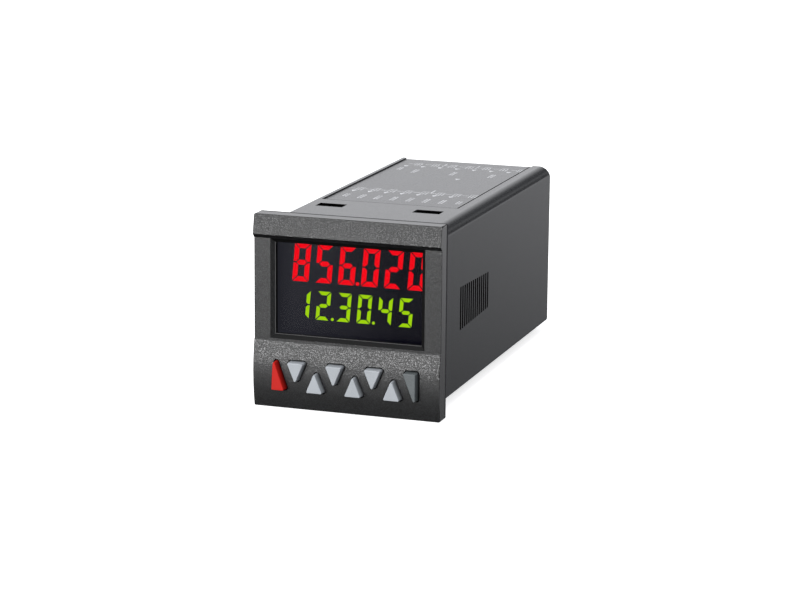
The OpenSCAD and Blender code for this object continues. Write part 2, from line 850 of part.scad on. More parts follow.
// A key: cap, flange behind the bezel's wall and plunger
module key(core, tone) {
  m = middle(core);
  y_cap_rear = (y_flange + y_flange_rear) / 2;
  color(tone) {
    key_cap(core, y_cap_rear);
    along_y(y_flange, y_flange_rear)
      grown(core, key_flange_r);
    rod(m[0], y_cap_rear, y_plunger, m[1], plunger_r);
  }
}

module reset_key() { key(KEY_CORES[0], "#cd1e14"); }
module down_key_1() { key(KEY_CORES[1], "#b4b9be"); }
module up_key_1() { key(KEY_CORES[2], "#b4b9be"); }
module down_key_2() { key(KEY_CORES[3], "#b4b9be"); }
module up_key_2() { key(KEY_CORES[4], "#b4b9be"); }
module down_key_3() { key(KEY_CORES[5], "#b4b9be"); }
module up_key_3() { key(KEY_CORES[6], "#b4b9be"); }
module mode_key() { key(KEY_CORES[7], "#5f6769"); }

// Section of the housing drawn in by inset: three small corners and one large shoulder
module body_section(inset) {
  w = body_w / 2 - inset;
  h = body_h / 2 - inset;
  small = max(corner_r - inset, corner_r / 2);
  big = shoulder_r - inset;
  big_w = shoulder_w - inset;
  intersection() {
    square([2 * w, 2 * h], center = true);
    union() {
      difference() {
        square([2 * w, 2 * h], center = true);
        for (s = [[-1, 1], [-1, -1], [1, -1]])
          translate([s[0] * w, s[1] * h])
            square(2 * small, center = true);
        translate([w, h])
          square([2 * big_w, 2 * big], center = true);
      }
      for (s = [[-1, 1], [-1, -1], [1, -1]])
        translate([s[0] * (w - small), s[1] * (h - small)])
          circle(r = small);
      translate([w - big_w, h - big])
        circle(r = big);
    }
  }
}

// Slits that shorten towards the rear, cut through both side walls
module vents() {
  for (i = [0 : vent_count - 1]) {
    h = vent_h_front + (vent_h_rear - vent_h_front) * i / (vent_count - 1);
    y = vent_y + i * vent_pitch;
    for (sx = [-1, 1])
      translate([sx * (body_w - wall) / 2, y, -vent_drop])
        cube([wall + past, vent_w, h], center = true);
  }
}

// Outline of a terminal plug or its openings, grown by a clearance
module plug_outline(poles, pitch, grow) {
  square([poles * pitch + 2 * plug_end + 2 * grow, plug_h + 2 * grow], center = true);
}

// Ribs on the side walls that guide the upper long board
module guide_ribs() {
  for (sx = [-1, 1], z = [z_board - rib_clear - rib_h, z_board_top + rib_clear])
    translate([sx * (inner_w / 2 - rib_w / 2 + wall / 4), (y_long + y_rear_inside) / 2, z + rib_h / 2])
      cube([rib_w + wall / 2, y_rear_inside - y_long + rear_wall / 2, rib_h], center = true);
}

module housing() {
  color("#5a5c60") {
    difference() {
      along_y(y_bezel_rear, body_depth)
        body_section(0);
      along_y(y_bezel_rear - past, y_rear_inside)
        body_section(wall);
      block([recess_left, recess_y, z_recess], [recess_right, body_depth + past, body_h / 2 + past]);
      for (x = latch_xs)
        translate([x, latch_y + latch_l / 2, (body_h - wall) / 2])
          cube([latch_w, latch_l, wall + past], center = true);
      for (x = low_latch_xs)
        translate([x, latch_y + latch_l / 2, -(body_h - wall) / 2])
          cube([low_latch_w, latch_l, wall + past], center = true);
      vents();
      along_y(y_rear_inside - past, body_depth + past) {
        translate([0, row_z])
          plug_outline(upper_poles, upper_pole_pitch, plug_clear);
        translate([0, -row_z])
          plug_outline(lower_poles, lower_pole_pitch, plug_clear);
      }
    }
    guide_ribs();
    mirror([0, 0, 1])
      guide_ribs();
  }
}

module wiring_label() {
  color("#4c4e52")
    block([recess_left + label_margin, recess_y + label_margin, z_recess],
      [recess_right - label_margin, body_depth - label_margin, z_recess + label_t]);
}

// A long board with holes for the link pins and for one row of header pins
module long_board(poles, pitch) {
  difference() {
    block([-long_board_w / 2, y_long, z_board], [long_board_w / 2, y_long_end, z_board_top]);
    for (x = link_xs())
      translate([x, y_long + link_block / 2, z_board - past])
        cylinder(h = board_t + 2 * past, r = link_pin_w * 0.75);
    for (i = [0 : poles - 1])
      translate([(i - (poles - 1) / 2) * pitch, pin_leg_y, z_board - past])
        cylinder(h = board_t + 2 * past, r = pin_w * 0.75);
  }
}

module supply_board() {
  color("#1f5a3a")
    long_board(upper_poles, upper_pole_pitch);
}

module control_board() {
  color("#1f5a3a")
    mirror([0, 0, 1])
      long_board(lower_poles, lower_pole_pitch);
}

// Insulating strip that holds the link pins below the upper long board
module link_strip() {
  x_end = link_count * link_pitch / 2;
  color("#18191b")
    difference() {
      block([-x_end, y_long, z_board - link_block], [x_end, y_long + link_block, z_board]);
      for (x = link_xs())
        block([x - link_pin_w / 2, y_long - past, z_link - link_pin_w / 2],
          [x + link_pin_w / 2, y_long + link_block / 2 + link_pin_w / 2, z_board + past]);
    }
}

module link_strip_upper() { link_strip(); }
module link_strip_lower() { mirror([0, 0, 1]) link_strip(); }

// An angled pin in Y and Z: forwards to y_tip at height z_run, upwards through a board at y_leg
module angled_pin(x, w, y_tip, y_leg, z_run, z_tip) {
  toward = y_tip < y_leg ? 1 : -1;
  along_x(x - w / 2, x + w / 2)
    polygon([
      [y_tip, z_run - w / 2],
      [y_leg + toward * w / 2, z_run - w / 2],
      [y_leg + toward * w / 2, z_tip],
      [y_leg - toward * w / 2, z_tip],
      [y_leg - toward * w / 2, z_run + w / 2],
      [y_tip, z_run + w / 2]
    ]);
}

module link_pins() {
  color("#c9b27a")
    for (x = link_xs(), flip = [0, 1])
      mirror([0, 0, flip])
        angled_pin(x, link_pin_w, y_board + link_pin_w / 2, y_long + link_block / 2, z_link,
          z_board_top + link_pin_w / 2);
}

module header_pins() {
  color("#c9b27a") {
    for (i = [0 : upper_poles - 1])
      angled_pin((i - (upper_poles - 1) / 2) * upper_pole_pitch, pin_w, y_pin_end, pin_leg_y, row_z,
        z_board_top + pin_w / 2);
    mirror([0, 0, 1])
      for (i = [0 : lower_poles - 1])
        angled_pin((i - (lower_poles - 1) / 2) * lower_pole_pitch, pin_w, y_pin_end, pin_leg_y, row_z,
          z_board_top + pin_w / 2);
  }
}

// A header soldered under the upper long board, open to the rear
module terminal_header(poles, pitch) {
  color("#232527")
    difference() {
      along_y(y_header, y_header_end)
        translate([0, row_z])
          plug_outline(poles, pitch, plug_clear + header_wall);
      along_y(y_header + header_floor, y_header_end + past)
        translate([0, row_z])
          plug_outline(poles, pitch, plug_clear);
      for (i = [0 : poles - 1])
        translate([(i - (poles - 1) / 2) * pitch, y_header + header_floor / 2, row_z])
          cube([pin_w, header_floor + 2 * past, pin_w], center = true);
    }
}

module terminal_header_upper() { terminal_header(upper_poles, upper_pole_pitch); }
module terminal_header_lower() { mirror([0, 0, 1]) terminal_header(lower_poles, lower_pole_pitch); }

// Depths in a plug, measured from its rear face
screw_sink = 1.6;
screw_head_t = 1.7;
screw_shank_l = 4.6;
screw_shank_r = 0.85;
entry_d = 7.8;
clamp_inset = 3.4;
clamp_l = 4;
clamp_wall = 0.35;
clamp_clear = 0.05;
y_screw_seat = y_plug_end - screw_sink - screw_head_t;

// A plug with a pin socket in front and a wire entry and a screw shaft behind for each pole
module terminal_plug(poles, pitch, entry_w, screw_r) {
  chamfer = 0.5;
  w = poles * pitch + 2 * plug_end;
  color("#2b2d30")
    difference() {
      along_x(-w / 2, w / 2)
        polygon([
          [y_plug, row_z - plug_h / 2 + chamfer],
          [y_plug + chamfer, row_z - plug_h / 2],
          [y_plug_end - chamfer, row_z - plug_h / 2],
          [y_plug_end, row_z - plug_h / 2 + chamfer],
          [y_plug_end, row_z + plug_h / 2 - chamfer],
          [y_plug_end - chamfer, row_z + plug_h / 2],
          [y_plug + chamfer, row_z + plug_h / 2],
          [y_plug, row_z + plug_h / 2 - chamfer]
        ]);
      for (i = [0 : poles - 1]) {
        x = (i - (poles - 1) / 2) * pitch;
        block([x - pin_w / 2 - pin_clear, y_plug - past, row_z - pin_w / 2 - pin_clear],
          [x + pin_w / 2 + pin_clear, y_pin_end + pin_clear, row_z + pin_w / 2 + pin_clear]);
        block([x - entry_w / 2, y_plug_end - entry_d, row_z - entry_offset - entry_h / 2],
          [x + entry_w / 2, y_plug_end + past, row_z - entry_offset + entry_h / 2]);
        rod(x, y_screw_seat, y_plug_end + past, row_z + entry_offset, screw_r + screw_clear);
        rod(x, y_screw_seat - screw_shank_l - screw_clear, y_plug_end, row_z + entry_offset,
          screw_shank_r + screw_clear);
      }
    }
}

module terminal_plug_upper() {
  terminal_plug(upper_poles, upper_pole_pitch, upper_entry_w, upper_screw_r);
}
module terminal_plug_lower() {
  mirror([0, 0, 1])
    terminal_plug(lower_poles, lower_pole_pitch, lower_entry_w, lower_screw_r);
}

// Slotted screws seated in a plug's shafts
module terminal_screws(poles, pitch, screw_r) {
  slot_w = 0.5;
  slot_d = 0.7;
  color("#c2c4c6")
    for (i = [0 : poles - 1]) {
      x = (i - (poles - 1) / 2) * pitch;
      difference() {
        union() {
          rod(x, y_screw_seat, y_screw_seat + screw_head_t, row_z + entry_offset, screw_r);
          rod(x, y_screw_seat - screw_shank_l, y_screw_seat, row_z + entry_offset, screw_shank_r);
        }
        translate([x, y_screw_seat + screw_head_t, row_z + entry_offset])
          cube([3 * screw_r, 2 * slot_d, slot_w], center = true);
      }
    }
}

module terminal_screws_upper() { terminal_screws(upper_poles, upper_pole_pitch, upper_screw_r); }
module terminal_screws_lower() {
  mirror([0, 0, 1])
    terminal_screws(lower_poles, lower_pole_pitch, lower_screw_r);
}

// Cages that clamp the wires in a plug's entries
module wire_clamps(poles, pitch, entry_w) {
  w = entry_w - 2 * clamp_clear;
  h = entry_h - 2 * clamp_clear;
  color("#c9b27a")
    for (i = [0 : poles - 1])
      along_y(y_plug_end - clamp_inset - clamp_l, y_plug_end - clamp_inset)
        translate([(i - (poles - 1) / 2) * pitch, row_z - entry_offset])
          difference() {
            square([w, h], center = true);
            square([w - 2 * clamp_wall, h - 2 * clamp_wall], center = true);
          }
}

module wire_clamps_upper() { wire_clamps(upper_poles, upper_pole_pitch, upper_entry_w); }
module wire_clamps_lower() {
  mirror([0, 0, 1])
    wire_clamps(lower_poles, lower_pole_pitch, lower_entry_w);
}

// Places of the components on the long boards, counted from the headers and the axis
relay_gap = 3;
relay_space = 1.2;
coupler_l = 6.4;
coupler_gap = 2.3;
part_gap = 2.8;
axis_gap = 1;
core_window = coil_t + coil_clear;
core_w = core_leg + 2 * core_window + core_side;
coil_h = core_h - core_side;
y_relay = pin_leg_y - relay_gap - relay_l;
y_couplers = pin_leg_y - pin_w / 2 - coupler_gap - coupler_l / 2;
y_capacitor = y_couplers - coupler_l / 2 - part_gap - capacitor_d / 2;
y_core = y_couplers - coupler_l / 2 - part_gap - coil_t - core_t;
x_core = -core_w / 2 - axis_gap;
chip_inset = 6;
y_chip = y_long + link_block + chip_inset + chip_w / 2;

// A sealed relay under the upper long board, with its pins in the board
module output_relay(x) {
  draft = 0.4;
  color("#2d5f9a") {
    along_x(x - relay_w / 2, x + relay_w / 2)
      polygon([
        [y_relay + draft, z_board - relay_h],
        [y_relay + relay_l - draft, z_board - relay_h],
        [y_relay + relay_l, z_board - relay_h + draft],
        [y_relay + relay_l, z_board],
        [y_relay, z_board],
        [y_relay, z_board - relay_h + draft]
      ]);
  }
}

module output_relay_left() { output_relay(-(relay_w + relay_space) / 2 - axis_gap); }
module output_relay_right() { output_relay((relay_w + relay_space) / 2 - axis_gap); }

// Fuse between two clips under the upper long board
module supply_fuse() {
  fuse_r = 2.4;
  fuse_l = 20;
  cap_l = 5;
  clip_l = 3;
  clip_t = 0.3;
  x = relay_w + relay_space / 2 + fuse_r + clip_t + axis_gap;
  z = z_board - fuse_r - clip_t;
  color("#d8d4c8") {
    rod(x, y_relay, y_relay + fuse_l, z, fuse_r * 0.9);
    for (y = [y_relay, y_relay + fuse_l - cap_l]) {
      rod(x, y, y + cap_l, z, fuse_r);
      difference() {
        block([x - fuse_r - clip_t, y + 1, z - fuse_r / 2], [x + fuse_r + clip_t, y + 1 + clip_l, z_board]);
        block([x - fuse_r + clip_t, y, z - fuse_r], [x + fuse_r - clip_t, y + cap_l, z_board - clip_t]);
      }
    }
  }
}

// Ferrite core with two windows round the coil, standing on the lower long board
module transformer_core() {
  color("#3a3a3c")
    translate([x_core, y_core, 0])
      along_y(-core_t / 2, core_t / 2)
        translate([0, -z_board + core_h / 2])
          difference() {
            square([core_w, core_h], center = true);
            for (sx = [-1, 1])
              translate([sx * (core_leg + core_window) / 2, 0])
                square([core_window, coil_h], center = true);
          }
}

// Coil round the core's middle leg
module transformer_coil() {
  coil_corner = 1;
  color("#b5793a")
    translate([x_core, y_core, -z_board + core_side / 2 + coil_clear])
      linear_extrude(height = coil_h - 2 * coil_clear)
        difference() {
          round_rect(core_leg + 2 * coil_t, core_t + 2 * coil_t, coil_corner);
          square([core_leg + 2 * coil_clear, core_t + 2 * coil_clear], center = true);
        }
}

// Can capacitor with a rolled groove near its foot
module reservoir_capacitor() {
  r = capacitor_d / 2;
  groove_z = 2.2;
  groove_r = 0.5;
  color("#3b4652")
    translate([r + axis_gap, y_capacitor, -z_board])
      rotate_extrude()
        difference() {
          union() {
            square([r, capacitor_h - 0.8]);
            square([r - 0.8, capacitor_h]);
          }
          translate([r, groove_z])
            circle(r = groove_r);
        }
}

// Flat control chip with leads on its four sides
module control_chip() {
  lead_count = 11;
  lead_pitch = 0.8;
  lead_reach = 1;
  foot_t = 0.2;
  color("#1b1c1e")
    translate([0, y_chip, -z_board]) {
      translate([-chip_w / 2, -chip_w / 2, foot_t / 2])
        cube([chip_w, chip_w, chip_h - foot_t / 2]);
      for (i = [0 : lead_count - 1], side = [0 : 3])
        rotate([0, 0, 90 * side])
          translate([
            (i - (lead_count - 1) / 2) * lead_pitch,
            chip_w / 2 + lead_reach / 2 - foot_t,
            foot_t / 2
          ])
            cube([lead_pitch / 2, lead_reach + 2 * foot_t, foot_t], center = true);
    }
}

// Quartz can lying beside the control chip
module crystal_can() {
  can_l = 11;
  can_w = 4.6;
  can_h = 3.5;
  color("#c4c7ca")
    translate([chip_w, y_chip, -z_board])
      linear_extrude(height = can_h)
        round_rect(can_w, can_l, can_w / 2 - 0.1);
}

// Row of input couplers before the lower header
module input_couplers() {
  coupler_w = 4.6;
  coupler_h = 3.4;
  count = 5;
  pitch = 6.6;
  color("#e4e4e0")
    for (i = [0 : count - 1])
      translate([(i - (count - 1) / 2) * pitch, y_couplers, -z_board + coupler_h / 2])
        cube([coupler_w, coupler_l, coupler_h], center = true);
}

front_bezel();
panel_gasket();
display_window();
display_glass();
upper_digits();
lower_digits();
light_guide();
display_frame();
front_board();
board_screws();
key_mat();
reset_key();
down_key_1();
up_key_1();
down_key_2();
up_key_2();
down_key_3();
up_key_3();
mode_key();
housing();
wiring_label();
supply_board();
control_board();
link_strip_upper();
link_strip_lower();
link_pins();
control_chip();
crystal_can();
input_couplers();
output_relay_left();
output_relay_right();
transformer_core();
transformer_coil();
reservoir_capacitor();
supply_fuse();
terminal_header_upper();
terminal_header_lower();
header_pins();
terminal_plug_upper();
terminal_plug_lower();
terminal_screws_upper();
terminal_screws_lower();
wire_clamps_upper();
wire_clamps_lower();
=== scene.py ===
import json
import math

import bmesh
import bpy
from mathutils import Matrix, Vector

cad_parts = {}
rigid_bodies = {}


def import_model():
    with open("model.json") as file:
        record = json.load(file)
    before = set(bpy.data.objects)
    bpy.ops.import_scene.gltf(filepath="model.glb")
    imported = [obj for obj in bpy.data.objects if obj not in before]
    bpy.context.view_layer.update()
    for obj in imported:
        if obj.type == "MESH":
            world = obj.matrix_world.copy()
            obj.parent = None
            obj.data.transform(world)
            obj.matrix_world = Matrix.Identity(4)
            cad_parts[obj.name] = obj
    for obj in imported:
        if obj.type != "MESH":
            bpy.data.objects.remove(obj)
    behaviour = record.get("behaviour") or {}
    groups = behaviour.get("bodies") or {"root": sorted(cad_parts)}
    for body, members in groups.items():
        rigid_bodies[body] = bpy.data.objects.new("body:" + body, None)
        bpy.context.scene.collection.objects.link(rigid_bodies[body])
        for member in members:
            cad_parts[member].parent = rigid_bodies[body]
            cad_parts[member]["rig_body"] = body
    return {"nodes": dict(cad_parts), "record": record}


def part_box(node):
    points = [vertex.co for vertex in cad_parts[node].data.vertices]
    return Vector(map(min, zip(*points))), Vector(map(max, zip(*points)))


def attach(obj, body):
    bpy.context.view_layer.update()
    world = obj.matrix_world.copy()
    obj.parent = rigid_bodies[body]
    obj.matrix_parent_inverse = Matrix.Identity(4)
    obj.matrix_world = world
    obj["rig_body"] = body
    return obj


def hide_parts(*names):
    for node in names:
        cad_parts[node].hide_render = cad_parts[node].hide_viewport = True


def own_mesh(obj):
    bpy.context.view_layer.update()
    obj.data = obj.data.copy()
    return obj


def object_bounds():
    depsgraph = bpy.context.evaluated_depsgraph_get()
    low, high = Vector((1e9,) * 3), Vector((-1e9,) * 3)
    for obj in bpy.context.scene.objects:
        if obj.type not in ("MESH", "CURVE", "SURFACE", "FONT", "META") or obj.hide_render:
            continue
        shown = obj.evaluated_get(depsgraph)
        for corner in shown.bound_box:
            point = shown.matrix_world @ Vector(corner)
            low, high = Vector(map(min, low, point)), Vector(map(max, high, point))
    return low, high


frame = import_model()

bl_info = {
    "name": "Preset counter looks",
    "version": (1, 0, 0),
    "blender": (4, 5, 0),
    "location": "View3D > Sidebar > Counter",
    "description": "Finishes, printed marks and studio for a panel-mounted preset counter",
    "category": "Object",
}

MM = 0.001
COUNTER = "counter"
# Corners closer than WELD become one, and edges shorter than SLIVER go
WELD = 0.002 * MM
SLIVER = 0.001 * MM
CAD_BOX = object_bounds()
NODES = frame["nodes"]
SLOT_OF = {row["node"]: row["material_slot"] for row in frame["record"]["subparts"]}
SLOT_COLOUR = {row["slot"]: tuple(row["base_color"][:3]) for row in frame["record"]["materials"]}
KEY_NODES = [
    "reset_key",
    "down_key_1",
    "up_key_1",
    "down_key_2",
    "up_key_2",
    "down_key_3",
    "up_key_3",
    "mode_key",
]


# Values that a user would change


def shade(tone, share):
    """A colour times a share"""
    return tuple(channel * share for channel in tone)


def lighter(tone, share):
    """A colour brought nearer to white by a share"""
    return tuple(channel + (1.0 - channel) * share for channel in tone)


def colour(label, text, default):
    return bpy.props.FloatVectorProperty(
        name=label, description=text, subtype="COLOR", size=3, min=0.0, max=1.0, default=default
    )


def length(label, text, default):
    return bpy.props.FloatProperty(
        name=label, description=text, unit="LENGTH", min=0.0, precision=5, default=default
    )


def factor(label, text, default):
    return bpy.props.FloatProperty(
        name=label, description=text, subtype="FACTOR", min=0.0, max=1.0, default=default
    )


def power(label, text, default):
    return bpy.props.FloatProperty(name=label, description=text, min=0.0, max=200.0, default=default)


class CounterFinishes(bpy.types.PropertyGroup):
    """Colours and grain of the counter's surfaces"""

    bezel: colour("Bezel", "Grained plastic of the front bezel", shade(SLOT_COLOUR["bezel_plastic"], 0.3))
    housing: colour("Housing", "Plastic of the housing", shade(SLOT_COLOUR["housing_plastic"], 0.42))
    gasket: colour("Gasket", "Rubber of the panel gasket", SLOT_COLOUR["gasket_rubber"])
    reset_key: colour("Reset key", "Plastic of the red end key", SLOT_COLOUR["key_red"])
    arrow_key: colour("Arrow keys", "Plastic of the arrow keys", SLOT_COLOUR["key_grey"])
    mode_key: colour("Mode key", "Plastic of the dark end key", SLOT_COLOUR["key_dark"])
    display: colour("Display", "Dark ground behind the digits", SLOT_COLOUR["display_black"])
    upper_row: colour("Upper row", "Light of the upper digits", (1.0, 0.0, 0.007))
    lower_row: colour("Lower row", "Light of the lower digits", SLOT_COLOUR["green_segments"])
    label: colour("Label", "Film of the wiring label", shade(SLOT_COLOUR["label_film"], 0.5))
    ink: colour("Ink", "Print on the wiring label", (0.66, 0.67, 0.69))
    terminal: colour("Terminals", "Plastic of the terminal plugs", SLOT_COLOUR["terminal_plastic"])
    bezel_grain: length("Bezel grain", "Size of the coarse grain on the bezel's front", 0.21 * MM)
    fine_grain: length("Fine grain", "Size of the fine grain on smooth mouldings", 0.16 * MM)
    digit_glow: bpy.props.FloatProperty(
        name="Glow", description="Strength of the digits' light", min=0.0, max=20.0, default=1.15
    )


class CounterSizes(bpy.types.PropertyGroup):
    """Sizes of the small forms that the looks add"""

    bezel_edge: length("Bezel edges", "Rounding of the bezel's sharp edges", 0.1 * MM)
    housing_edge: length("Housing edges", "Rounding of the housing's sharp edges", 0.12 * MM)
    key_edge: length("Key edges", "Rounding of the keys' edges", 0.08 * MM)
    plug_edge: length("Plug edges", "Rounding of the terminal plugs' edges", 0.1 * MM)
    slit_inset: length("Slit inset", "How far each wall of a ventilation slit stands back", 0.06 * MM)
    mat_plate: length("Mat plate", "Thickness of the key mat between its domes", 0.8 * MM)
    # Painted highlight: a lighter line along the window's left and lower edges, where the edge catches light
    window_line: length("Painted window highlight", "Width of the light line at two edges of the window", 0.14 * MM)
    ink_thickness: length("Ink", "Thickness of the print on the label", 0.012 * MM)
    rib_height: length("Ribs", "Height of the grip ribs on the terminal plugs", 0.3 * MM)
    rib_width: length("Rib width", "Width of a grip rib", 0.9 * MM)


class CounterStage(bpy.types.PropertyGroup):
    """Camera, lights and floor"""

    azimuth: bpy.props.FloatProperty(
        name="Azimuth",
        description="Turn of the camera to the right of the front",
        subtype="ANGLE",
        default=math.radians(18.73),
    )
    elevation: bpy.props.FloatProperty(
        name="Elevation",
        description="Height of the camera above the horizon",
        subtype="ANGLE",
        default=math.radians(12.727),
    )
    roll: bpy.props.FloatProperty(
        name="Roll", description="Tilt of the picture", subtype="ANGLE", default=math.radians(-0.4988)
    )
    distance: length("Distance", "Distance of the camera from its target", 631.69 * MM)
    target: bpy.props.FloatVectorProperty(
        name="Target",
        description="Point that the camera looks at",
        subtype="XYZ",
        unit="LENGTH",
        size=3,
        default=(12.102 * MM, 0.0, 4.429 * MM),
    )
    lens: bpy.props.FloatProperty(
        name="Lens", description="Focal length in millimetres", min=20.0, max=300.0, default=117.94
    )
    sky: bpy.props.FloatProperty(
        name="Sky", description="Strength of the light from above and behind", min=0.0, max=5.0, default=1.1
    )
    sky_left: factor("Front left share", "Share of the sky's light at the front left", 0.4)
    sky_right: factor("Front right share", "Share of the sky's light at the front right", 0.6)
    sky_low: factor("Low share", "Share of the sky's light below the horizon", 0.05)
    screen: factor("Screen", "How much the dark screen behind the right holds back", 0.985)
    top_power: power("Top light", "Power of the large light above the front in watts", 5.5)
    front_power: power("Front light", "Power of the soft light at the front left in watts", 12.1)
    floor_tone: bpy.props.FloatProperty(
        name="Floor", description="Brightness of the floor", min=0.0, max=1.0, default=0.86
    )
    floor_glow: factor("Floor glow", "Light of the floor itself, which keeps it white", 0.7)


# Shader nodes


def put(tree, kind, values=None, **settings):
    """Adds a node, with its attributes and its input values by name or number"""
    node = tree.nodes.new(kind)
    for key, value in settings.items():
        setattr(node, key, value)
    for key, value in (values or {}).items():
        node.inputs[key].default_value = value
    return node


def math_node(tree, operation, a, b=None):
    """A Math node on two sockets or numbers, and its result"""
    node = put(tree, "ShaderNodeMath", operation=operation)
    for index, value in enumerate((a, b)):
        if value is None:
            continue
        if isinstance(value, (int, float)):
            node.inputs[index].default_value = value
        else:
            tree.links.new(value, node.inputs[index])
    return node.outputs[0]


def product(tree, result, *others):
    """The product of sockets and numbers"""
    for value in others:
        result = math_node(tree, "MULTIPLY", result, value)
    return result


def span(tree, value, low, high, to_low=0.0, to_high=1.0):
    """A value between low and high, spread from to_low to to_high"""
    node = put(tree, "ShaderNodeMapRange", {1: low, 2: high, 3: to_low, 4: to_high}, clamp=True)
    tree.links.new(value, node.inputs[0])
    return node.outputs[0]


def mixed(tree, share, a, b):
    """A colour between a and b, each a socket or a colour"""
    node = put(tree, "ShaderNodeMix", data_type="RGBA")
    for index, value in ((0, share), (6, a), (7, b)):
        if isinstance(value, tuple):
            node.inputs[index].default_value = (*value[:3], 1.0)
        else:
            tree.links.new(value, node.inputs[index])
    return node.outputs[2]


def feed(tree, shader, **values):
    """Links sockets to the shader's inputs, whose names have a _ for each space"""
    for name, value in values.items():
        tree.links.new(value, shader.inputs[name.replace("_", " ").title()])


def node_group(name, inputs, outputs):
    """A shader node group with named sockets, and its two ends"""
    tree = bpy.data.node_groups.new(name, "ShaderNodeTree")
    for label, kind, default in inputs:
        socket = tree.interface.new_socket(name=label, in_out="INPUT", socket_type=kind)
        if default is not None:
            socket.default_value = default
    for label, kind in outputs:
        tree.interface.new_socket(name=label, in_out="OUTPUT", socket_type=kind)
    return tree, put(tree, "NodeGroupInput"), put(tree, "NodeGroupOutput")


def scaled(tree, vector, size):
    """A place divided by a size"""
    node = put(tree, "ShaderNodeVectorMath", operation="SCALE")
    tree.links.new(vector, node.inputs[0])
    tree.links.new(math_node(tree, "DIVIDE", 1.0, size), node.inputs["Scale"])
    return node.outputs[0]


def grain_group():
    """Pebbled grain of a moulding: its height and its bright flecks"""
    tree, start, end = node_group(
        "Moulded grain",
        [("Place", "NodeSocketVector", None), ("Size", "NodeSocketFloat", 0.0004)],
        [("Height", "NodeSocketFloat"), ("Fleck", "NodeSocketFloat")],
    )
    place = scaled(tree, start.outputs["Place"], start.outputs["Size"])
    noise = put(tree, "ShaderNodeTexNoise", {"Scale": 1.0, "Detail": 2.5, "Roughness": 0.62})
    pebbles = put(tree, "ShaderNodeTexVoronoi", {"Scale": 0.85, "Randomness": 1.0}, feature="SMOOTH_F1")
    tree.links.new(place, noise.inputs["Vector"])
    tree.links.new(place, pebbles.inputs["Vector"])
    crown = span(tree, pebbles.outputs["Distance"], 0.0, 0.75, 1.0, 0.0)
    crown_share = 0.55
    height = math_node(
        tree, "ADD", product(tree, crown, crown_share), product(tree, noise.outputs[0], 1.0 - crown_share)
    )
    tree.links.new(height, end.inputs["Height"])
    tree.links.new(span(tree, height, 0.42, 0.74), end.inputs["Fleck"])
    return tree


def drift_group():
    """Slow unevenness of a moulded or handled surface"""
    tree, start, end = node_group(
        "Slow drift",
        [("Place", "NodeSocketVector", None), ("Size", "NodeSocketFloat", 0.02)],
        [("Tone", "NodeSocketFloat")],
    )
    place = scaled(tree, start.outputs["Place"], start.outputs["Size"])
    noise = put(tree, "ShaderNodeTexNoise", {"Scale": 1.0, "Detail": 3.0, "Roughness": 0.55})
    tree.links.new(place, noise.inputs["Vector"])
    tree.links.new(span(tree, noise.outputs[0], 0.25, 0.75), end.inputs["Tone"])
    return tree


def brushed_group():
    """Fine lines of a drawn or turned metal, long along one axis"""
    tree, start, end = node_group(
        "Drawn lines",
        [
            ("Place", "NodeSocketVector", None),
            ("Size", "NodeSocketFloat", 0.0001),
            ("Stretch", "NodeSocketVector", (1.0, 0.04, 1.0)),
        ],
        [("Line", "NodeSocketFloat")],
    )
    place = scaled(tree, start.outputs["Place"], start.outputs["Size"])
    drawn = put(tree, "ShaderNodeVectorMath", operation="MULTIPLY")
    tree.links.new(place, drawn.inputs[0])
    tree.links.new(start.outputs["Stretch"], drawn.inputs[1])
    noise = put(tree, "ShaderNodeTexNoise", {"Scale": 1.0, "Detail": 3.0, "Roughness": 0.7})
    tree.links.new(drawn.outputs[0], noise.inputs["Vector"])
    tree.links.new(noise.outputs[0], end.inputs["Line"])
    return tree


GROUPS = {}


def group_node(tree, maker, place, **values):
    """A shared node group placed in a material, with its own values"""
    if maker not in GROUPS:
        GROUPS[maker] = maker()
    node = put(tree, "ShaderNodeGroup", node_tree=GROUPS[maker])
    for key, value in values.items():
        node.inputs[key.capitalize()].default_value = value
    tree.links.new(place, node.inputs["Place"])
    return node


def surface(name):
    """A new material's tree, its Principled shader and the place on the piece"""
    material = bpy.data.materials.new(name)
    material.use_nodes = True
    tree = material.node_tree
    shader = next(node for node in tree.nodes if node.type == "BSDF_PRINCIPLED")
    where = put(tree, "ShaderNodeTexCoord")
    return material, tree, shader, where


def bump(tree, shader, height, depth):
    """Raises the surface by a height from 0 to 1, depth metres high"""
    node = put(tree, "ShaderNodeBump", {"Distance": depth})
    tree.links.new(height, node.inputs["Height"])
    tree.links.new(node.outputs[0], shader.inputs["Normal"])


def parts_of(tree, vector):
    """The X, Y and Z sockets of a vector"""
    node = put(tree, "ShaderNodeSeparateXYZ")
    tree.links.new(vector, node.inputs[0])
    return tuple(node.outputs[axis] for axis in "XYZ")


def moulded(
    name, tone, rough, size, depth, fleck=0.1, drift=0.12, drift_size=14.0 * MM, specular=0.5, root=None
):
    """Moulded plastic or rubber with an even grain, and, where a root is given, painted shade that darkens it
    towards the root between two places along Y
    """
    material, tree, shader, where = surface(name)
    place = where.outputs["Object"]
    grain = group_node(tree, grain_group, place, size=size)
    slow = group_node(tree, drift_group, place, size=drift_size)
    even = mixed(tree, slow.outputs["Tone"], shade(tone, 1.0 - drift), shade(tone, 1.0 + drift))
    spots = mixed(tree, grain.outputs["Fleck"], even, lighter(tone, fleck))
    if root:
        # Painted shade: the colour darkens towards the root, between the two places along Y
        painted_root_shade = 0.25
        along = parts_of(tree, place)[1]
        spots = mixed(tree, span(tree, along, *root), spots, shade(tone, painted_root_shade))
    hollow_rough, crown_rough = rough + 0.07, rough - 0.05
    gloss = span(tree, grain.outputs["Height"], 0.3, 0.8, hollow_rough, crown_rough)
    feed(tree, shader, base_color=spots, roughness=gloss)
    shader.inputs["Specular IOR Level"].default_value = specular
    bump(tree, shader, grain.outputs["Height"], depth)
    return material


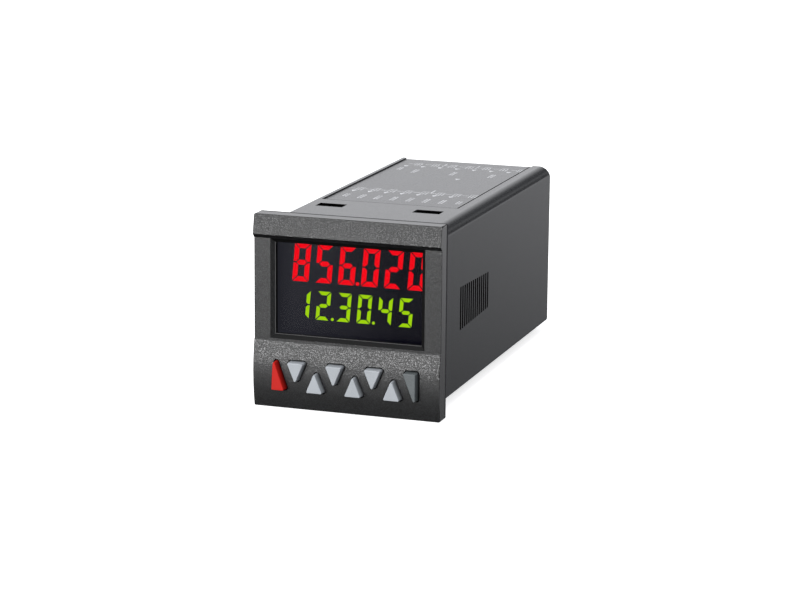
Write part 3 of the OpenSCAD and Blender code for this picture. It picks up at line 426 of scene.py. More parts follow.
def bezel_finish(name, tone, coarse, fine):
    """Plastic with a coarse sparkling grain on what faces the front, its bright flecks partly painted glints,
    and a fine one elsewhere
    """
    dull, sparkling, smooth_rough = 0.46, 0.19, 0.22
    fine_share, grain_depth = 0.08, 0.03 * MM
    material, tree, shader, where = surface(name)
    place = where.outputs["Object"]
    grain = group_node(tree, grain_group, place, size=coarse)
    smooth = group_node(tree, grain_group, place, size=fine)
    slow = group_node(tree, drift_group, place, size=12.0 * MM)
    facing_x, facing_y, facing_z = parts_of(tree, where.outputs["Normal"])
    front = span(tree, facing_y, -0.3, -0.6)
    even = mixed(tree, slow.outputs["Tone"], shade(tone, 0.95), shade(tone, 1.1))
    # The dark and bright flecks in the base colour are partly the grain's own tone and partly painted glints
    # of its sparkle
    spots = mixed(tree, grain.outputs["Fleck"], shade(tone, 0.1), shade(tone, 2.6))
    flecked = span(tree, grain.outputs["Height"], 0.5, 0.6, dull, sparkling)
    elsewhere = span(tree, front, 0.0, 1.0, smooth_rough, 0.0)
    feed(
        tree,
        shader,
        base_color=mixed(tree, front, even, spots),
        roughness=math_node(tree, "ADD", product(tree, flecked, front), elsewhere),
        coat_weight=span(tree, math_node(tree, "ABSOLUTE", facing_x), 0.6, 0.8),
    )
    shader.inputs["Specular IOR Level"].default_value = 0.5
    shader.inputs["Coat Roughness"].default_value = 0.25
    raised = span(tree, facing_z, -0.2, 0.05, 0.6, 1.0)
    coarse_part = product(tree, grain.outputs["Height"], front, raised)
    fine_part = product(tree, smooth.outputs["Height"], fine_share)
    bump(tree, shader, math_node(tree, "ADD", coarse_part, fine_part), grain_depth)
    return material


def metal(name, tone, rough, stretch, size=0.1 * MM):
    """Drawn or turned metal with fine lines"""
    material, tree, shader, where = surface(name)
    place = where.outputs["Object"]
    lines = group_node(tree, brushed_group, place, size=size, stretch=stretch)
    slow = group_node(tree, drift_group, place, size=4.0 * MM)
    hollow_rough, crown_rough = rough + 0.12, rough - 0.06
    feed(
        tree,
        shader,
        base_color=mixed(tree, slow.outputs["Tone"], shade(tone, 0.8), tone),
        roughness=span(tree, lines.outputs["Line"], 0.3, 0.7, hollow_rough, crown_rough),
    )
    shader.inputs["Metallic"].default_value = 1.0
    bump(tree, shader, lines.outputs["Line"], 0.01 * MM)
    return material


def board_finish(name, tone):
    """Circuit board with copper runs under its solder mask"""
    run_sizes = {"Scale": 190.0, "Mortar Size": 0.012, "Brick Width": 0.9, "Row Height": 0.22}
    material, tree, shader, where = surface(name)
    place = where.outputs["Object"]
    slow = group_node(tree, drift_group, place, size=6.0 * MM)
    runs = put(tree, "ShaderNodeTexBrick", run_sizes, offset=0.37)
    tree.links.new(place, runs.inputs["Vector"])
    mask = span(tree, runs.outputs["Fac"], 0.3, 0.7)
    ground = mixed(tree, slow.outputs["Tone"], shade(tone, 0.85), shade(tone, 1.15))
    feed(
        tree,
        shader,
        base_color=mixed(tree, mask, ground, lighter(tone, 0.14)),
        roughness=span(tree, slow.outputs["Tone"], 0.0, 1.0, 0.28, 0.4),
    )
    bump(tree, shader, mask, 0.03 * MM)
    return material


def wound_finish(name, tone):
    """Tape wound round the coil in overlapping turns"""
    turn_sizes = {"Scale": 330.0, "Distortion": 0.6}
    material, tree, shader, where = surface(name)
    turns = put(tree, "ShaderNodeTexWave", turn_sizes, bands_direction="Z", wave_profile="SAW")
    tree.links.new(where.outputs["Object"], turns.inputs["Vector"])
    lap = turns.outputs["Fac"]
    feed(
        tree,
        shader,
        base_color=mixed(tree, lap, shade(tone, 0.7), tone),
        roughness=span(tree, lap, 0.0, 1.0, 0.3, 0.45),
    )
    bump(tree, shader, lap, 0.05 * MM)
    return material


def glowing(name, tone, strength):
    """A lit segment with a slow unevenness in its light"""
    material, tree, shader, where = surface(name)
    slow = group_node(tree, drift_group, where.outputs["Object"], size=3.0 * MM)
    feed(
        tree,
        shader,
        emission_color=mixed(tree, slow.outputs["Tone"], shade(tone, 0.94), tone),
        base_color=mixed(tree, slow.outputs["Tone"], shade(tone, 0.03), shade(tone, 0.04)),
    )
    shader.inputs["Emission Strength"].default_value = strength
    shader.inputs["Roughness"].default_value = 0.4
    shader.inputs["Specular IOR Level"].default_value = 0.0
    return material


def display_finish(name, tone):
    """Dark display ground with a faint mottling, and a glow fading to the right that paints a reflection in
    the window
    """
    # Painted reflection: an emitted glow on the ground, strongest at the left, stands for the window's
    # reflection
    painted_reflection, no_painted_reflection = (0.0185, 0.019, 0.0245), (0.0, 0.0, 0.002)
    painted_reflection_left, painted_reflection_right = -17.0 * MM, 12.0 * MM
    material, tree, shader, where = surface(name)
    slow = group_node(tree, drift_group, where.outputs["Object"], size=9.0 * MM)
    along = parts_of(tree, where.outputs["Object"])[0]
    feed(
        tree,
        shader,
        base_color=mixed(tree, slow.outputs["Tone"], shade(tone, 0.2), shade(tone, 0.3)),
        roughness=span(tree, slow.outputs["Tone"], 0.0, 1.0, 0.16, 0.24),
        emission_color=mixed(tree, span(tree, along, painted_reflection_left, painted_reflection_right), painted_reflection, no_painted_reflection),
    )
    shader.inputs["Specular IOR Level"].default_value = 0.1
    shader.inputs["Emission Strength"].default_value = 1.0
    return material


def window_finish(name, tone):
    """Smoke-tinted acrylic, clear enough to see the display through"""
    material, tree, shader, where = surface(name)
    slow = group_node(tree, drift_group, where.outputs["Object"], size=11.0 * MM)
    feed(
        tree,
        shader,
        base_color=mixed(tree, slow.outputs["Tone"], shade(tone, 0.8), tone),
        roughness=span(tree, slow.outputs["Tone"], 0.0, 1.0, 0.02, 0.05),
        alpha=span(tree, slow.outputs["Tone"], 0.0, 1.0, 0.14, 0.11),
    )
    shader.inputs["IOR"].default_value = 1.49
    return material


# Meshes


def dress(node, material):
    """Gives a CAD node its finish"""
    mesh = NODES[node].data
    mesh.materials.clear()
    mesh.materials.append(material)


def softened(node, name, width, material, angle=32.0):
    """A copy of a CAD node's solid with its sharp edges rounded, which stands for the node"""
    flat_angle = math.radians(0.6)
    mesh = NODES[node].data.copy()
    mesh.name = name
    form = bmesh.new()
    form.from_mesh(mesh)
    bmesh.ops.remove_doubles(form, verts=form.verts, dist=WELD)
    bmesh.ops.dissolve_degenerate(form, edges=form.edges, dist=SLIVER)
    bmesh.ops.dissolve_limit(
        form, angle_limit=flat_angle, use_dissolve_boundaries=False, verts=form.verts, edges=form.edges
    )
    for face in form.faces:
        face.smooth = True
    form.to_mesh(mesh)
    form.free()
    mesh.materials.clear()
    mesh.materials.append(material)
    piece = bpy.data.objects.new(name, mesh)
    bpy.context.scene.collection.objects.link(piece)
    edges = piece.modifiers.new("Rounded edges", "BEVEL")
    edges.width = width
    edges.segments = 2
    edges.limit_method = "ANGLE"
    edges.angle_limit = math.radians(angle)
    edges.use_clamp_overlap = True
    flats = piece.modifiers.new("Flat faces", "WEIGHTED_NORMAL")
    flats.mode = "FACE_AREA"
    flats.weight = 100
    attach(piece, NODES[node]["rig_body"])
    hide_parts(node)
    return piece


def second_finish(piece, low, high, material, frontal=1.0, inward=False):
    """Another finish for a piece's faces in a box, but not for those that face the front more than frontal,
    nor, where inward is set, for those turned away from the long axis"""
    if material.name not in piece.data.materials:
        piece.data.materials.append(material)
    index = piece.data.materials.find(material.name)
    least_turn = 0.5 * MM
    for face in piece.data.polygons:
        outward = face.center.x * face.normal.x + face.center.z * face.normal.z > least_turn
        if -face.normal.y > frontal or inward and outward:
            continue
        if all(low[i] < face.center[i] < high[i] for i in range(3)):
            face.material_index = index


def widened_slits(piece, low, high, inset):
    """Moves the walls of the slits in a piece's two sides apart"""
    wall, margin, across = 2.0 * MM, 8.0 * MM, 0.9
    sides = {}
    for face in piece.data.polygons:
        x, y, z = face.center
        in_wall = abs(x) > high.x - wall and abs(z) < high.z - margin
        clear_of_ends = low.y + margin < y < high.y - margin
        if in_wall and clear_of_ends and abs(face.normal.y) > across:
            sides.update(dict.fromkeys(face.vertices, face.normal.y))
    for i, side in sides.items():
        piece.data.vertices[i].co.y -= side * inset


def mesh_of(form, name):
    """A mesh from a form, which is then freed"""
    mesh = bpy.data.meshes.new(name)
    form.to_mesh(mesh)
    form.free()
    return mesh


def joined(form, base, top):
    """Closes a form between two rings of corners"""
    form.faces.new(base[::-1])
    form.faces.new(top)
    for i in range(len(base)):
        j = (i + 1) % len(base)
        form.faces.new((base[i], base[j], top[j], top[i]))


def extruded(name, outlines, low, high):
    """A mesh of flat outlines in X and Y, raised from low to high"""
    form = bmesh.new()
    for outline in outlines:
        base = [form.verts.new((x, y, low)) for x, y in outline]
        top = [form.verts.new((x, y, high)) for x, y in outline]
        joined(form, base, top)
    bmesh.ops.recalc_face_normals(form, faces=form.faces)
    return mesh_of(form, name)


def bar(x0, y0, x1, y1):
    """Outline of a straight bar"""
    return [(x0, y0), (x1, y0), (x1, y1), (x0, y1)]


def caption(count):
    """Outlines of plain paired blocks in a line that runs to the rear"""
    pitch, deep, near, far = 1.3 * MM, 0.75 * MM, 0.12 * MM, 0.62 * MM
    marks = []
    for i in range(count):
        y = pitch * (i - count / 2)
        marks.append(bar(-far, y, -near, y + deep))
        marks.append(bar(near, y, far, y + deep))
    return marks


def painted_corner_highlight(low, high, width):
    """A mesh of an angled line along the left and the lower edge of an upright opening, which serves as a
    painted highlight
    """
    outline = [
        (low.x, low.z),
        (high.x, low.z),
        (high.x, low.z + width),
        (low.x + width, low.z + width),
        (low.x + width, high.z),
        (low.x, high.z),
    ]
    mesh = extruded("painted_corner_highlight", [outline], -high.y, -low.y)
    mesh.transform(Matrix.Rotation(math.radians(90.0), 4, "X"))
    return mesh


def plain(name, mesh, material):
    """A piece of the looks that rides on the counter"""
    mesh.materials.append(material)
    piece = bpy.data.objects.new(name, mesh)
    bpy.context.scene.collection.objects.link(piece)
    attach(piece, COUNTER)
    return piece


def cut_form(node, place, before):
    """The part of a CAD node's solid before or behind a place on the long axis, closed at the cut"""
    form = bmesh.new()
    form.from_mesh(NODES[node].data)
    bmesh.ops.remove_doubles(form, verts=form.verts, dist=WELD)
    cut = bmesh.ops.bisect_plane(
        form,
        geom=form.verts[:] + form.edges[:] + form.faces[:],
        plane_co=(0.0, place, 0.0),
        plane_no=(0.0, 1.0, 0.0),
        clear_outer=before,
        clear_inner=not before,
    )
    rim = [item for item in cut["geom_cut"] if isinstance(item, bmesh.types.BMEdge)]
    bmesh.ops.triangle_fill(form, edges=rim, use_beauty=True)
    bmesh.ops.recalc_face_normals(form, faces=form.faces)
    return form


def key_mat(material, thickness):
    """The mat's plate, and a dome behind each key, each a mesh of its own"""
    low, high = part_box("key_mat")
    spare = 0.02 * MM
    base = high.y - thickness - spare
    plate = plain("key_mat_plate", mesh_of(cut_form("key_mat", base, False), "key_mat_plate"), material)
    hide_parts("key_mat")
    middles = {key: (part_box(key)[0].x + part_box(key)[1].x) / 2 for key in KEY_NODES}

    def nearest(corner):
        return min(middles, key=lambda key: abs(middles[key] - corner.co.x))

    for key in KEY_NODES:
        form = cut_form("key_mat", base, True)
        others = [corner for corner in form.verts if nearest(corner) != key]
        bmesh.ops.delete(form, geom=others, context="VERTS")
        dome = plain(key + "_dome", mesh_of(form, key + "_dome"), material)
        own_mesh(dome)


ROW_TREE = "Row of like pieces"


def row_tree():
    """Geometry nodes that set copies of one form along a straight row"""
    if ROW_TREE in bpy.data.node_groups:
        return bpy.data.node_groups[ROW_TREE]
    tree = bpy.data.node_groups.new(ROW_TREE, "GeometryNodeTree")
    for label, kind in (
        ("Form", "NodeSocketObject"),
        ("Count", "NodeSocketInt"),
        ("Start", "NodeSocketVector"),
        ("Step", "NodeSocketVector"),
        ("Finish", "NodeSocketMaterial"),
    ):
        tree.interface.new_socket(name=label, in_out="INPUT", socket_type=kind)
    tree.interface.new_socket(name="Geometry", in_out="OUTPUT", socket_type="NodeSocketGeometry")
    start = put(tree, "NodeGroupInput")
    end = put(tree, "NodeGroupOutput")
    line = put(tree, "GeometryNodeMeshLine", mode="OFFSET")
    form = put(tree, "GeometryNodeObjectInfo", transform_space="ORIGINAL")
    copies = put(tree, "GeometryNodeInstanceOnPoints")
    real = put(tree, "GeometryNodeRealizeInstances")
    finish = put(tree, "GeometryNodeSetMaterial")
    for source, target in (
        (start.outputs["Count"], line.inputs["Count"]),
        (start.outputs["Start"], line.inputs["Start Location"]),
        (start.outputs["Step"], line.inputs["Offset"]),
        (start.outputs["Form"], form.inputs["Object"]),
        (line.outputs["Mesh"], copies.inputs["Points"]),
        (form.outputs["Geometry"], copies.inputs["Instance"]),
        (copies.outputs["Instances"], real.inputs["Geometry"]),
        (real.outputs["Geometry"], finish.inputs["Geometry"]),
        (start.outputs["Finish"], finish.inputs["Material"]),
        (finish.outputs["Geometry"], end.inputs["Geometry"]),
    ):
        tree.links.new(source, target)
    return tree


def row(name, mesh, count, start, step, material):
    """A piece made of count copies of a mesh along a row, as a plain mesh that rides on the counter"""
    form = bpy.data.objects.new(name + "_form", mesh)
    bpy.context.scene.collection.objects.link(form)
    holder = bpy.data.objects.new(name, bpy.data.meshes.new(name + "_holder"))
    bpy.context.scene.collection.objects.link(holder)
    tree = row_tree()
    nodes = holder.modifiers.new("Row", "NODES")
    nodes.node_group = tree
    values = {"Form": form, "Count": count, "Start": start, "Step": step, "Finish": material}
    for item in tree.interface.items_tree:
        if item.in_out == "INPUT":
            nodes[item.identifier] = values[item.name]
    depsgraph = bpy.context.evaluated_depsgraph_get()
    made = bpy.data.meshes.new_from_object(holder.evaluated_get(depsgraph), depsgraph=depsgraph)
    made.name = name
    holder.modifiers.remove(nodes)
    holder.data = made
    if not made.materials:
        made.materials.append(material)
    bpy.data.objects.remove(form)
    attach(holder, COUNTER)
    return holder


# Operators, one for each piece or group of like pieces


class COUNTER_OT_front(bpy.types.Operator):
    """Finish the bezel and its gasket"""

    bl_idname = "counter.front"
    bl_label = "Bezel and gasket"

    def execute(self, context):
        finishes, sizes = context.scene.counter_finishes, context.scene.counter_sizes
        fine = finishes.fine_grain
        low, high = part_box("display_window")
        plastic = bezel_finish("Grained bezel", tuple(finishes.bezel), finishes.bezel_grain, fine)
        shell = softened("front_bezel", "bezel_shell", sizes.bezel_edge, plastic)
        # Painted shade: a near-black copy of the bezel plastic on the window's recess, except its lit left
        # bevel, and on the walls of the key openings
        painted_shade_tone = shade(finishes.bezel, 0.2)
        dark = moulded("Painted shade of window and key holes", painted_shade_tone, 0.6, fine, 0.003 * MM, fleck=0.0, specular=0.2)
        reach = Vector((0.36 * MM, 2.43 * MM, 0.36 * MM))
        beside = Vector((2 * reach.x, 0.0, 0.0))
        second_finish(shell, low - reach + beside, high + reach, dark)
        # Painted highlight: a lighter sheet along the left and lower edges of the window's opening
        ledge = Vector((0.6 * MM, 0.0, 0.6 * MM))
        line = moulded("Painted window highlight", lighter(finishes.bezel, 0.04), 0.5, fine, 0.002 * MM, fleck=0.0)
        line_front, line_back = 1.66 * MM, 1.5 * MM
        sight = low + ledge, high - ledge
        sight[0].y = low.y - line_front
        sight[1].y = low.y - line_back
        plain("window_line", painted_corner_highlight(*sight, sizes.window_line), line)
        left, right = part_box(KEY_NODES[0]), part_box(KEY_NODES[-1])
        key_field = Vector(left[0]), Vector((right[1].x, left[1].y, right[1].z))
        # Painted shade on the walls of the key openings
        second_finish(shell, *key_field, dark, frontal=0.5)
        rubber = moulded("Gasket rubber", tuple(finishes.gasket), 0.7, 0.2 * MM, 0.02 * MM, fleck=0.03)
        dress("panel_gasket", rubber)
        return {"FINISHED"}


class COUNTER_OT_display(bpy.types.Operator):
    """Finish the window, the dark ground and the lit digits"""

    bl_idname = "counter.display"
    bl_label = "Display"

    def execute(self, context):
        finishes = context.scene.counter_finishes
        smoke = 0.012, 0.012, 0.018
        dress("display_window", window_finish("Smoke acrylic", smoke))
        ground = display_finish("Dark display", tuple(finishes.display))
        dress("display_glass", ground)
        dress("display_frame", ground)
        dress("upper_digits", glowing("Red digits", tuple(finishes.upper_row), finishes.digit_glow))
        dress("lower_digits", glowing("Green digits", tuple(finishes.lower_row), finishes.digit_glow))
        for node in ("upper_digits", "lower_digits"):
            NODES[node].visible_diffuse = False
            NODES[node].visible_glossy = False
        dress("light_guide", moulded("Milky guide", SLOT_COLOUR["guide_white"], 0.3, 0.3 * MM, 0.005 * MM))
        return {"FINISHED"}


class COUNTER_OT_keys(bpy.types.Operator):
    """Finish the eight keys and the mat behind them"""

    bl_idname = "counter.keys"
    bl_label = "Keys"

    def execute(self, context):
        finishes, sizes = context.scene.counter_finishes, context.scene.counter_sizes
        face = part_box("reset_key")[0].y
        # Painted shade at each key's root, from 0.8 mm to 2.6 mm behind its face
        root = face + 0.8 * MM, face + 2.6 * MM
        shared = {"size": finishes.fine_grain, "depth": 0.006 * MM, "root": root}
        tones = {
            "key_red": moulded("Red key", tuple(finishes.reset_key), 0.5, fleck=0.0, specular=0.2, **shared),
            "key_grey": moulded("Grey key", tuple(finishes.arrow_key), 0.42, fleck=0.06, **shared),
            "key_dark": moulded("Dark key", tuple(finishes.mode_key), 0.42, fleck=0.04, **shared),
        }
        for node in KEY_NODES:
            softened(node, node + "_cap", sizes.key_edge, tones[SLOT_OF[node]], angle=50.0)
        silicone = moulded("Silicone mat", SLOT_COLOUR["mat_silicone"], 0.6, 0.2 * MM, 0.01 * MM)
        key_mat(silicone, sizes.mat_plate)
        return {"FINISHED"}


class COUNTER_OT_housing(bpy.types.Operator):
    """Finish the housing"""

    bl_idname = "counter.housing"
    bl_label = "Housing"

    def execute(self, context):
        finishes, sizes = context.scene.counter_finishes, context.scene.counter_sizes
        fine = finishes.fine_grain
        plastic = moulded(
            "Housing plastic",
            tuple(finishes.housing),
            0.2,
            fine,
            0.002 * MM,
            fleck=0.02,
            drift=0.06,
            drift_size=30.0 * MM,
        )
        shell = softened("housing", "housing_shell", sizes.housing_edge, plastic)
        # Painted shade: a near-black copy of the housing plastic on the faces inside the housing, the slit
        # and latch walls among them
        painted_shade_tone = shade(finishes.housing, 0.03)
        inside = moulded("Painted shade inside housing", painted_shade_tone, 0.7, fine, 0.004 * MM, fleck=0.0, specular=0.02)
        low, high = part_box("housing")
        widened_slits(shell, low, high, sizes.slit_inset)
        skin = 0.07 * MM
        label_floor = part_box("wiring_label")[0].z
        second_finish(
            shell,
            (low.x + skin, low.y + skin, low.z + skin),
            (high.x - skin, high.y - skin, label_floor - skin),
            inside,
            inward=True,
        )
        return {"FINISHED"}


class COUNTER_OT_label(bpy.types.Operator):
    """Finish the wiring label and print its terminal rows"""

    bl_idname = "counter.label"
    bl_label = "Wiring label"

    def execute(self, context):
        finishes, sizes = context.scene.counter_finishes, context.scene.counter_sizes
        fine = finishes.fine_grain
        film = moulded("Label film", tuple(finishes.label), 0.22, fine, 0.002 * MM, fleck=0.02, drift=0.05)
        dress("wiring_label", film)
        ink = moulded(
            "Label ink", tuple(finishes.ink), 0.5, 0.2 * MM, 0.002 * MM, drift=0.2, drift_size=2.0 * MM
        )
        low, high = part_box("wiring_label")
        top = high.z
        ink_top = top + sizes.ink_thickness
        wedge = [(-0.8 * MM, 1.0 * MM), (0.0, -0.9 * MM), (0.8 * MM, 1.0 * MM)]
        slash = bar(-0.15 * MM, -2.4 * MM, 0.15 * MM, 2.4 * MM)
        strokes = [
            bar(-0.9 * MM, 3.1 * MM, 0.9 * MM, 3.4 * MM),
            bar(1.25 * MM, 1.0 * MM, 1.5 * MM, 4.0 * MM),
            bar(2.05 * MM, 1.0 * MM, 2.3 * MM, 4.0 * MM),
            bar(2.85 * MM, 1.0 * MM, 3.1 * MM, 4.0 * MM),
            bar(1.15 * MM, 4.6 * MM, 3.1 * MM, 4.9 * MM),
        ]
        forms = {
            "wedge": extruded("terminal_wedge", [wedge], top, ink_top),
            "strokes": extruded("contact_strokes", strokes, top, ink_top),
            "slash": extruded("tall_slash", [slash], top, ink_top),
            "short": extruded("short_caption", caption(3), top, ink_top),
            "long": extruded("long_caption", caption(4), top, ink_top),
        }
        # Name, form, count, place of the first in X and Y, and pitch, in millimetres
        rows = (
            ("label_wedges_front", "wedge", 7, -16.95, 47.2, 4.41),
            ("label_strokes_front", "strokes", 8, -18.4, 47.4, 4.41),
            ("label_slash_front", "slash", 1, 3.0, 52.6, 0.0),
            ("label_captions_front_short", "short", 2, -16.5, 40.9, 30.4),
            ("label_captions_front_long", "long", 6, -12.1, 40.5, 4.34),
            ("label_wedges_rear", "wedge", 7, -16.35, 87.7, 4.87),
            ("label_strokes_rear", "strokes", 7, -15.9, 88.6, 4.87),
            ("label_slashes_rear", "slash", 2, -6.6, 92.6, 9.4),
            ("label_caption_rear_short", "short", 1, -16.4, 83.6, 0.0),
            ("label_captions_rear_long", "long", 3, -11.3, 81.0, 10.85),
            ("label_mark", "wedge", 1, 3.2, 72.6, 0.0),
        )
        for name, form, count, x, y, pitch in rows:
            start, step = Vector((x * MM, y * MM, 0.0)), Vector((pitch * MM, 0.0, 0.0))
            row(name, forms[form], count, start, step, ink)
        # Painted shadow: dark strips along the label's right edge and near its front edge
        shadow_tone = shade(finishes.housing, 0.15)
        shadow = moulded("Painted label shadow", shadow_tone, 0.6, fine, 0.002 * MM, fleck=0.0, specular=0.0)
        inner, outer = high.x - 0.72 * MM, high.x - 0.4 * MM
        shadow_strips = [
            bar(inner, low.y, outer, high.y),
            bar(low.x, low.y + 1.35 * MM, inner, low.y + 1.55 * MM),
        ]
        plain("label_gap", extruded("label_gap", shadow_strips, top, ink_top), shadow)
        return {"FINISHED"}


class COUNTER_OT_terminals(bpy.types.Operator):
    """Finish the terminal plugs and give them grip ribs"""

    bl_idname = "counter.terminals"
    bl_label = "Terminals"

    def execute(self, context):
        finishes, sizes = context.scene.counter_finishes, context.scene.counter_sizes
        tone, fine = tuple(finishes.terminal), finishes.fine_grain
        plastic = moulded("Terminal plastic", tone, 0.46, fine, 0.008 * MM, fleck=0.03)
        steel = metal("Plated screw", SLOT_COLOUR["screw_steel"], 0.3, (1.0, 1.0, 0.06))
        brass = metal("Contact brass", SLOT_COLOUR["contact_brass"], 0.28, (1.0, 0.05, 1.0))
        for side in ("upper", "lower"):
            softened("terminal_plug_" + side, "plug_body_" + side, sizes.plug_edge, plastic)
            dress("terminal_header_" + side, plastic)
            dress("terminal_screws_" + side, steel)
            dress("wire_clamps_" + side, brass)
            self.ribs(side, plastic, sizes)
        dress("header_pins", brass)
        dress("link_pins", brass)
        dress("board_screws", steel)
        return {"FINISHED"}

    def ribs(self, side, plastic, sizes):
        """One rib beside each pole's screw on a plug's outer face"""
        low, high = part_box("terminal_plug_" + side)
        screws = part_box("terminal_screws_" + side)
        pole_count = {"upper": 7, "lower": 9}[side]
        head = screws[1].z - screws[0].z
        pitch = (screws[1].x - screws[0].x - head) / (pole_count - 1)
        outer, sign = (high.z, 1.0) if side == "upper" else (low.z, -1.0)
        half, slope, sunk = sizes.rib_width / 2, 0.25 * MM, 0.05 * MM
        y0, y1 = high.y - 6.0 * MM, high.y - 1.4 * MM
        form = bmesh.new()
        foot = [form.verts.new((x, y, outer - sign * sunk)) for x, y in bar(-half, y0, half, y1)]
        crown = [
            form.verts.new((x, y, outer + sign * sizes.rib_height))
            for x, y in bar(-half + slope, y0 + slope, half - slope, y1 - slope)
        ]
        joined(form, foot, crown)
        bmesh.ops.recalc_face_normals(form, faces=form.faces)
        start, step = Vector((screws[0].x + head / 2, 0.0, 0.0)), Vector((pitch, 0.0, 0.0))
        piece = row("plug_ribs_" + side, mesh_of(form, "grip_rib"), pole_count, start, step, plastic)


class COUNTER_OT_inside(bpy.types.Operator):
    """Finish the boards and the components on them"""

    bl_idname = "counter.inside"
    bl_label = "Boards and components"

    def execute(self, context):
        board = board_finish("Solder mask", SLOT_COLOUR["board_green"])
        for node in ("front_board", "supply_board", "control_board"):
            dress(node, board)
        # Nodes, finish, slot, roughness, grain size and depth in millimetres, and lightness of the flecks
        mouldings = (
            (("link_strip_upper", "link_strip_lower"), "Header black", "frame_black", 0.5, 0.15, 0.01, 0.02),
            (("control_chip",), "Chip resin", "chip_black", 0.55, 0.1, 0.008, 0.03),
            (("input_couplers",), "Coupler resin", "coupler_white", 0.5, 0.15, 0.006, 0.1),
            (("output_relay_left", "output_relay_right"), "Relay case", "relay_blue", 0.35, 0.2, 0.005, 0.03),
            (("transformer_core",), "Ferrite", "core_ferrite", 0.6, 0.25, 0.02, 0.06),
            (("reservoir_capacitor",), "Sleeve", "capacitor_sleeve", 0.3, 0.4, 0.004, 0.03),
            (("supply_fuse",), "Fuse ceramic", "fuse_ceramic", 0.45, 0.3, 0.006, 0.1),
        )
        for nodes, name, slot, rough, size, depth, fleck in mouldings:
            finish = moulded(name, SLOT_COLOUR[slot], rough, size * MM, depth * MM, fleck=fleck)
            for node in nodes:
                dress(node, finish)
        dress("crystal_can", metal("Drawn can", SLOT_COLOUR["can_steel"], 0.25, (1.0, 0.05, 1.0)))
        dress("transformer_coil", wound_finish("Coil tape", SLOT_COLOUR["coil_tape"]))
        return {"FINISHED"}


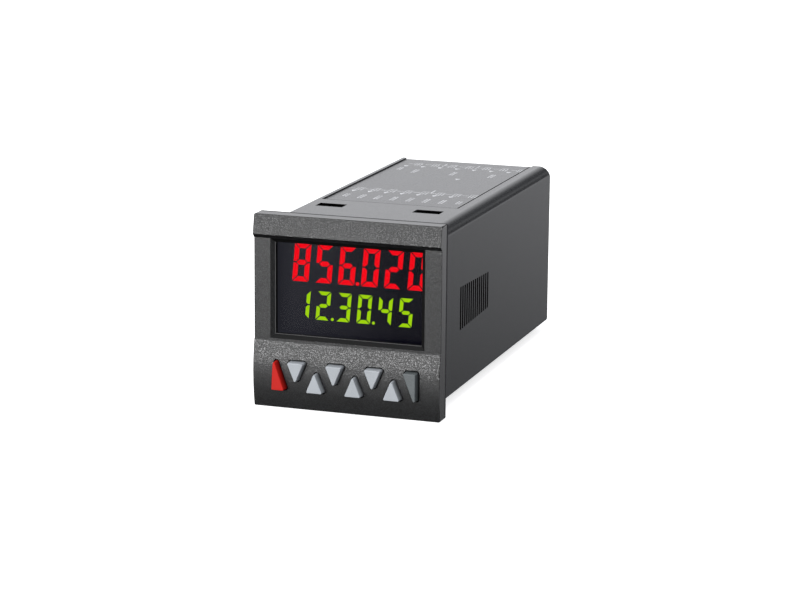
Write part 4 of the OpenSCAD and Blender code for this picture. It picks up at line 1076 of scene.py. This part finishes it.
class COUNTER_OT_stage(bpy.types.Operator):
    """Set up the floor, the lights and the camera"""

    bl_idname = "counter.stage"
    bl_label = "Studio"

    def execute(self, context):
        stage = context.scene.counter_stage
        self.floor(context, stage)
        self.sky(context, stage)
        top_place, top_size = (-0.2, -0.42, 0.98), (1.0, 0.9)
        front_place, front_size = (-0.4, -1.1, 0.013), (0.9, 0.24)
        self.light(context, "Top light", top_place, top_size, stage.top_power)
        self.light(context, "Front light", front_place, front_size, stage.front_power)
        self.camera(context, stage)
        context.scene.view_settings.view_transform = "Standard"
        return {"FINISHED"}

    def floor(self, context, stage):
        """A wide round floor under the counter, which lights nothing"""
        reach, corners, unevenness = 6.0, 96, 0.6
        form = bmesh.new()
        bmesh.ops.create_circle(form, cap_ends=True, segments=corners, radius=reach)
        bmesh.ops.translate(form, verts=form.verts, vec=(0.0, 0.0, CAD_BOX[0].z))
        mesh = mesh_of(form, "studio_floor")
        material, tree, shader, where = surface("Pale floor")
        slow = group_node(tree, drift_group, where.outputs["Object"], size=unevenness)
        tone = (stage.floor_tone,) * 3
        feed(tree, shader, base_color=mixed(tree, slow.outputs["Tone"], tone, shade(tone, 1.02)))
        shader.inputs["Roughness"].default_value = 0.9
        shader.inputs["Specular IOR Level"].default_value = 0.0
        shader.inputs["Emission Strength"].default_value = stage.floor_glow
        shader.inputs["Emission Color"].default_value = (1.0, 1.0, 1.0, 1.0)
        mesh.materials.append(material)
        floor = bpy.data.objects.new("studio_floor", mesh)
        floor.visible_diffuse = False
        floor.visible_glossy = False
        floor.visible_transmission = False
        context.scene.collection.objects.link(floor)

    def sky(self, context, stage):
        """A soft sky, dimmer to the front and low down, with a dark screen behind the right"""
        world = bpy.data.worlds.new("Studio")
        world.use_nodes = True
        tree = world.node_tree
        ground = tree.nodes["Background"]
        ground.inputs["Color"].default_value = (0.965, 0.97, 1.0, 1.0)
        # Bands are given as parts of a unit direction, X to the right, Y to the rear and Z up
        x, y, z = parts_of(tree, put(tree, "ShaderNodeTexCoord").outputs["Object"])
        to_front, to_rear, to_low_front = (0.7, -0.7), (0.4, 0.6), (-0.7, -0.8)
        horizon, table_share = (0.05, -0.02), 0.55
        glow_far, glow_near, behind_share, slit_share = 0.12, 0.4, 0.25, 0.4
        dimmed = span(tree, x, -0.6, 0.6, 1.0 - stage.sky_left, 1.0 - stage.sky_right)
        open_sky = self.rest(tree, product(tree, span(tree, y, *to_front), dimmed))
        table = span(tree, z, *horizon, 1.0, table_share)
        low = span(tree, z, -0.28, -0.15, stage.sky_low, 1.0)
        share = product(tree, open_sky, table, low)
        glow = span(tree, x, -0.28, -0.36, glow_far, glow_near)
        glow = product(tree, glow, self.gate(tree, z, -0.4, 0.0), span(tree, y, *to_low_front))
        share = math_node(tree, "ADD", share, glow)
        behind = product(tree, span(tree, x, 0.26, 0.16), span(tree, z, -0.26, -0.32))
        behind = product(tree, behind, span(tree, y, *to_rear, 0.0, behind_share))
        share = math_node(tree, "ADD", share, behind)
        screen = product(tree, span(tree, x, -0.24, 0.05), span(tree, x, 0.7, 0.55))
        dark = span(tree, y, *to_rear, 0.0, stage.screen)
        screen = product(tree, screen, self.gate(tree, z, 0.02, 0.6), dark)
        slit = product(tree, self.gate(tree, x, 0.22, 0.32, 0.02), self.gate(tree, z, 0.17, 0.31), slit_share)
        screen = product(tree, screen, self.rest(tree, slit))
        share = product(tree, share, self.rest(tree, screen), stage.sky)
        tree.links.new(share, ground.inputs["Strength"])
        context.scene.world = world

    def rest(self, tree, share):
        """What a share leaves of the whole"""
        return math_node(tree, "SUBTRACT", 1.0, share)

    def gate(self, tree, value, low, high, soft=0.03):
        """1 between low and high and 0 outside, with soft edges"""
        return product(
            tree,
            span(tree, value, low - soft, low + soft),
            span(tree, value, high + soft, high - soft),
        )

    def light(self, context, name, place, size, power):
        """A soft rectangle of light that faces the counter"""
        lamp = bpy.data.lights.new(name, "AREA")
        lamp.shape = "RECTANGLE"
        lamp.size, lamp.size_y = size
        lamp.energy = power
        holder = bpy.data.objects.new(name, lamp)
        holder.location = place
        holder.rotation_euler = (-Vector(place)).to_track_quat("-Z", "Y").to_euler()
        context.scene.collection.objects.link(holder)

    def camera(self, context, stage):
        """A camera at the photograph's viewing angle"""
        turn, rise, roll = stage.azimuth, stage.elevation, stage.roll
        back = Vector((math.sin(turn) * math.cos(rise), -math.cos(turn) * math.cos(rise), math.sin(rise)))
        right = Vector((math.cos(turn), math.sin(turn), 0.0))
        up = back.cross(right)
        across = right * math.cos(roll) - up * math.sin(roll)
        above = right * math.sin(roll) + up * math.cos(roll)
        place = Vector(stage.target) + back * stage.distance
        data = bpy.data.cameras.new("Camera")
        data.lens = stage.lens
        data.sensor_width = 36.0
        data.sensor_fit = "HORIZONTAL"
        data.clip_start, data.clip_end = 0.01, 50.0
        camera = bpy.data.objects.new("Camera", data)
        context.scene.collection.objects.link(camera)
        turned = Matrix((across, above, back)).transposed().to_4x4()
        camera.matrix_world = Matrix.Translation(place) @ turned
        context.scene.camera = camera


class COUNTER_PT_panel(bpy.types.Panel):
    """Sidebar with the counter's pieces and values"""

    bl_label = "Preset counter"
    bl_idname = "COUNTER_PT_panel"
    bl_space_type = "VIEW_3D"
    bl_region_type = "UI"
    bl_category = "Counter"

    def draw(self, context):
        layout = self.layout
        for operator in OPERATORS:
            layout.operator(operator.bl_idname)
        for group in ("counter_finishes", "counter_sizes", "counter_stage"):
            values = getattr(context.scene, group)
            box = layout.box()
            for name in values.__annotations__:
                box.prop(values, name)


OPERATORS = (
    COUNTER_OT_front,
    COUNTER_OT_display,
    COUNTER_OT_keys,
    COUNTER_OT_housing,
    COUNTER_OT_label,
    COUNTER_OT_terminals,
    COUNTER_OT_inside,
    COUNTER_OT_stage,
)
VALUES = {
    "counter_finishes": CounterFinishes,
    "counter_sizes": CounterSizes,
    "counter_stage": CounterStage,
}
CLASSES = (*VALUES.values(), *OPERATORS, COUNTER_PT_panel)


def register():
    for cls in CLASSES:
        bpy.utils.register_class(cls)
    for name, cls in VALUES.items():
        setattr(bpy.types.Scene, name, bpy.props.PointerProperty(type=cls))


def unregister():
    for name in VALUES:
        delattr(bpy.types.Scene, name)
    for cls in reversed(CLASSES):
        bpy.utils.unregister_class(cls)


def main():
    register()
    bpy.ops.counter.stage()
    bpy.ops.counter.front()
    bpy.ops.counter.display()
    bpy.ops.counter.keys()
    bpy.ops.counter.housing()
    bpy.ops.counter.label()
    bpy.ops.counter.terminals()
    bpy.ops.counter.inside()


if __name__ == "__main__":
    main()
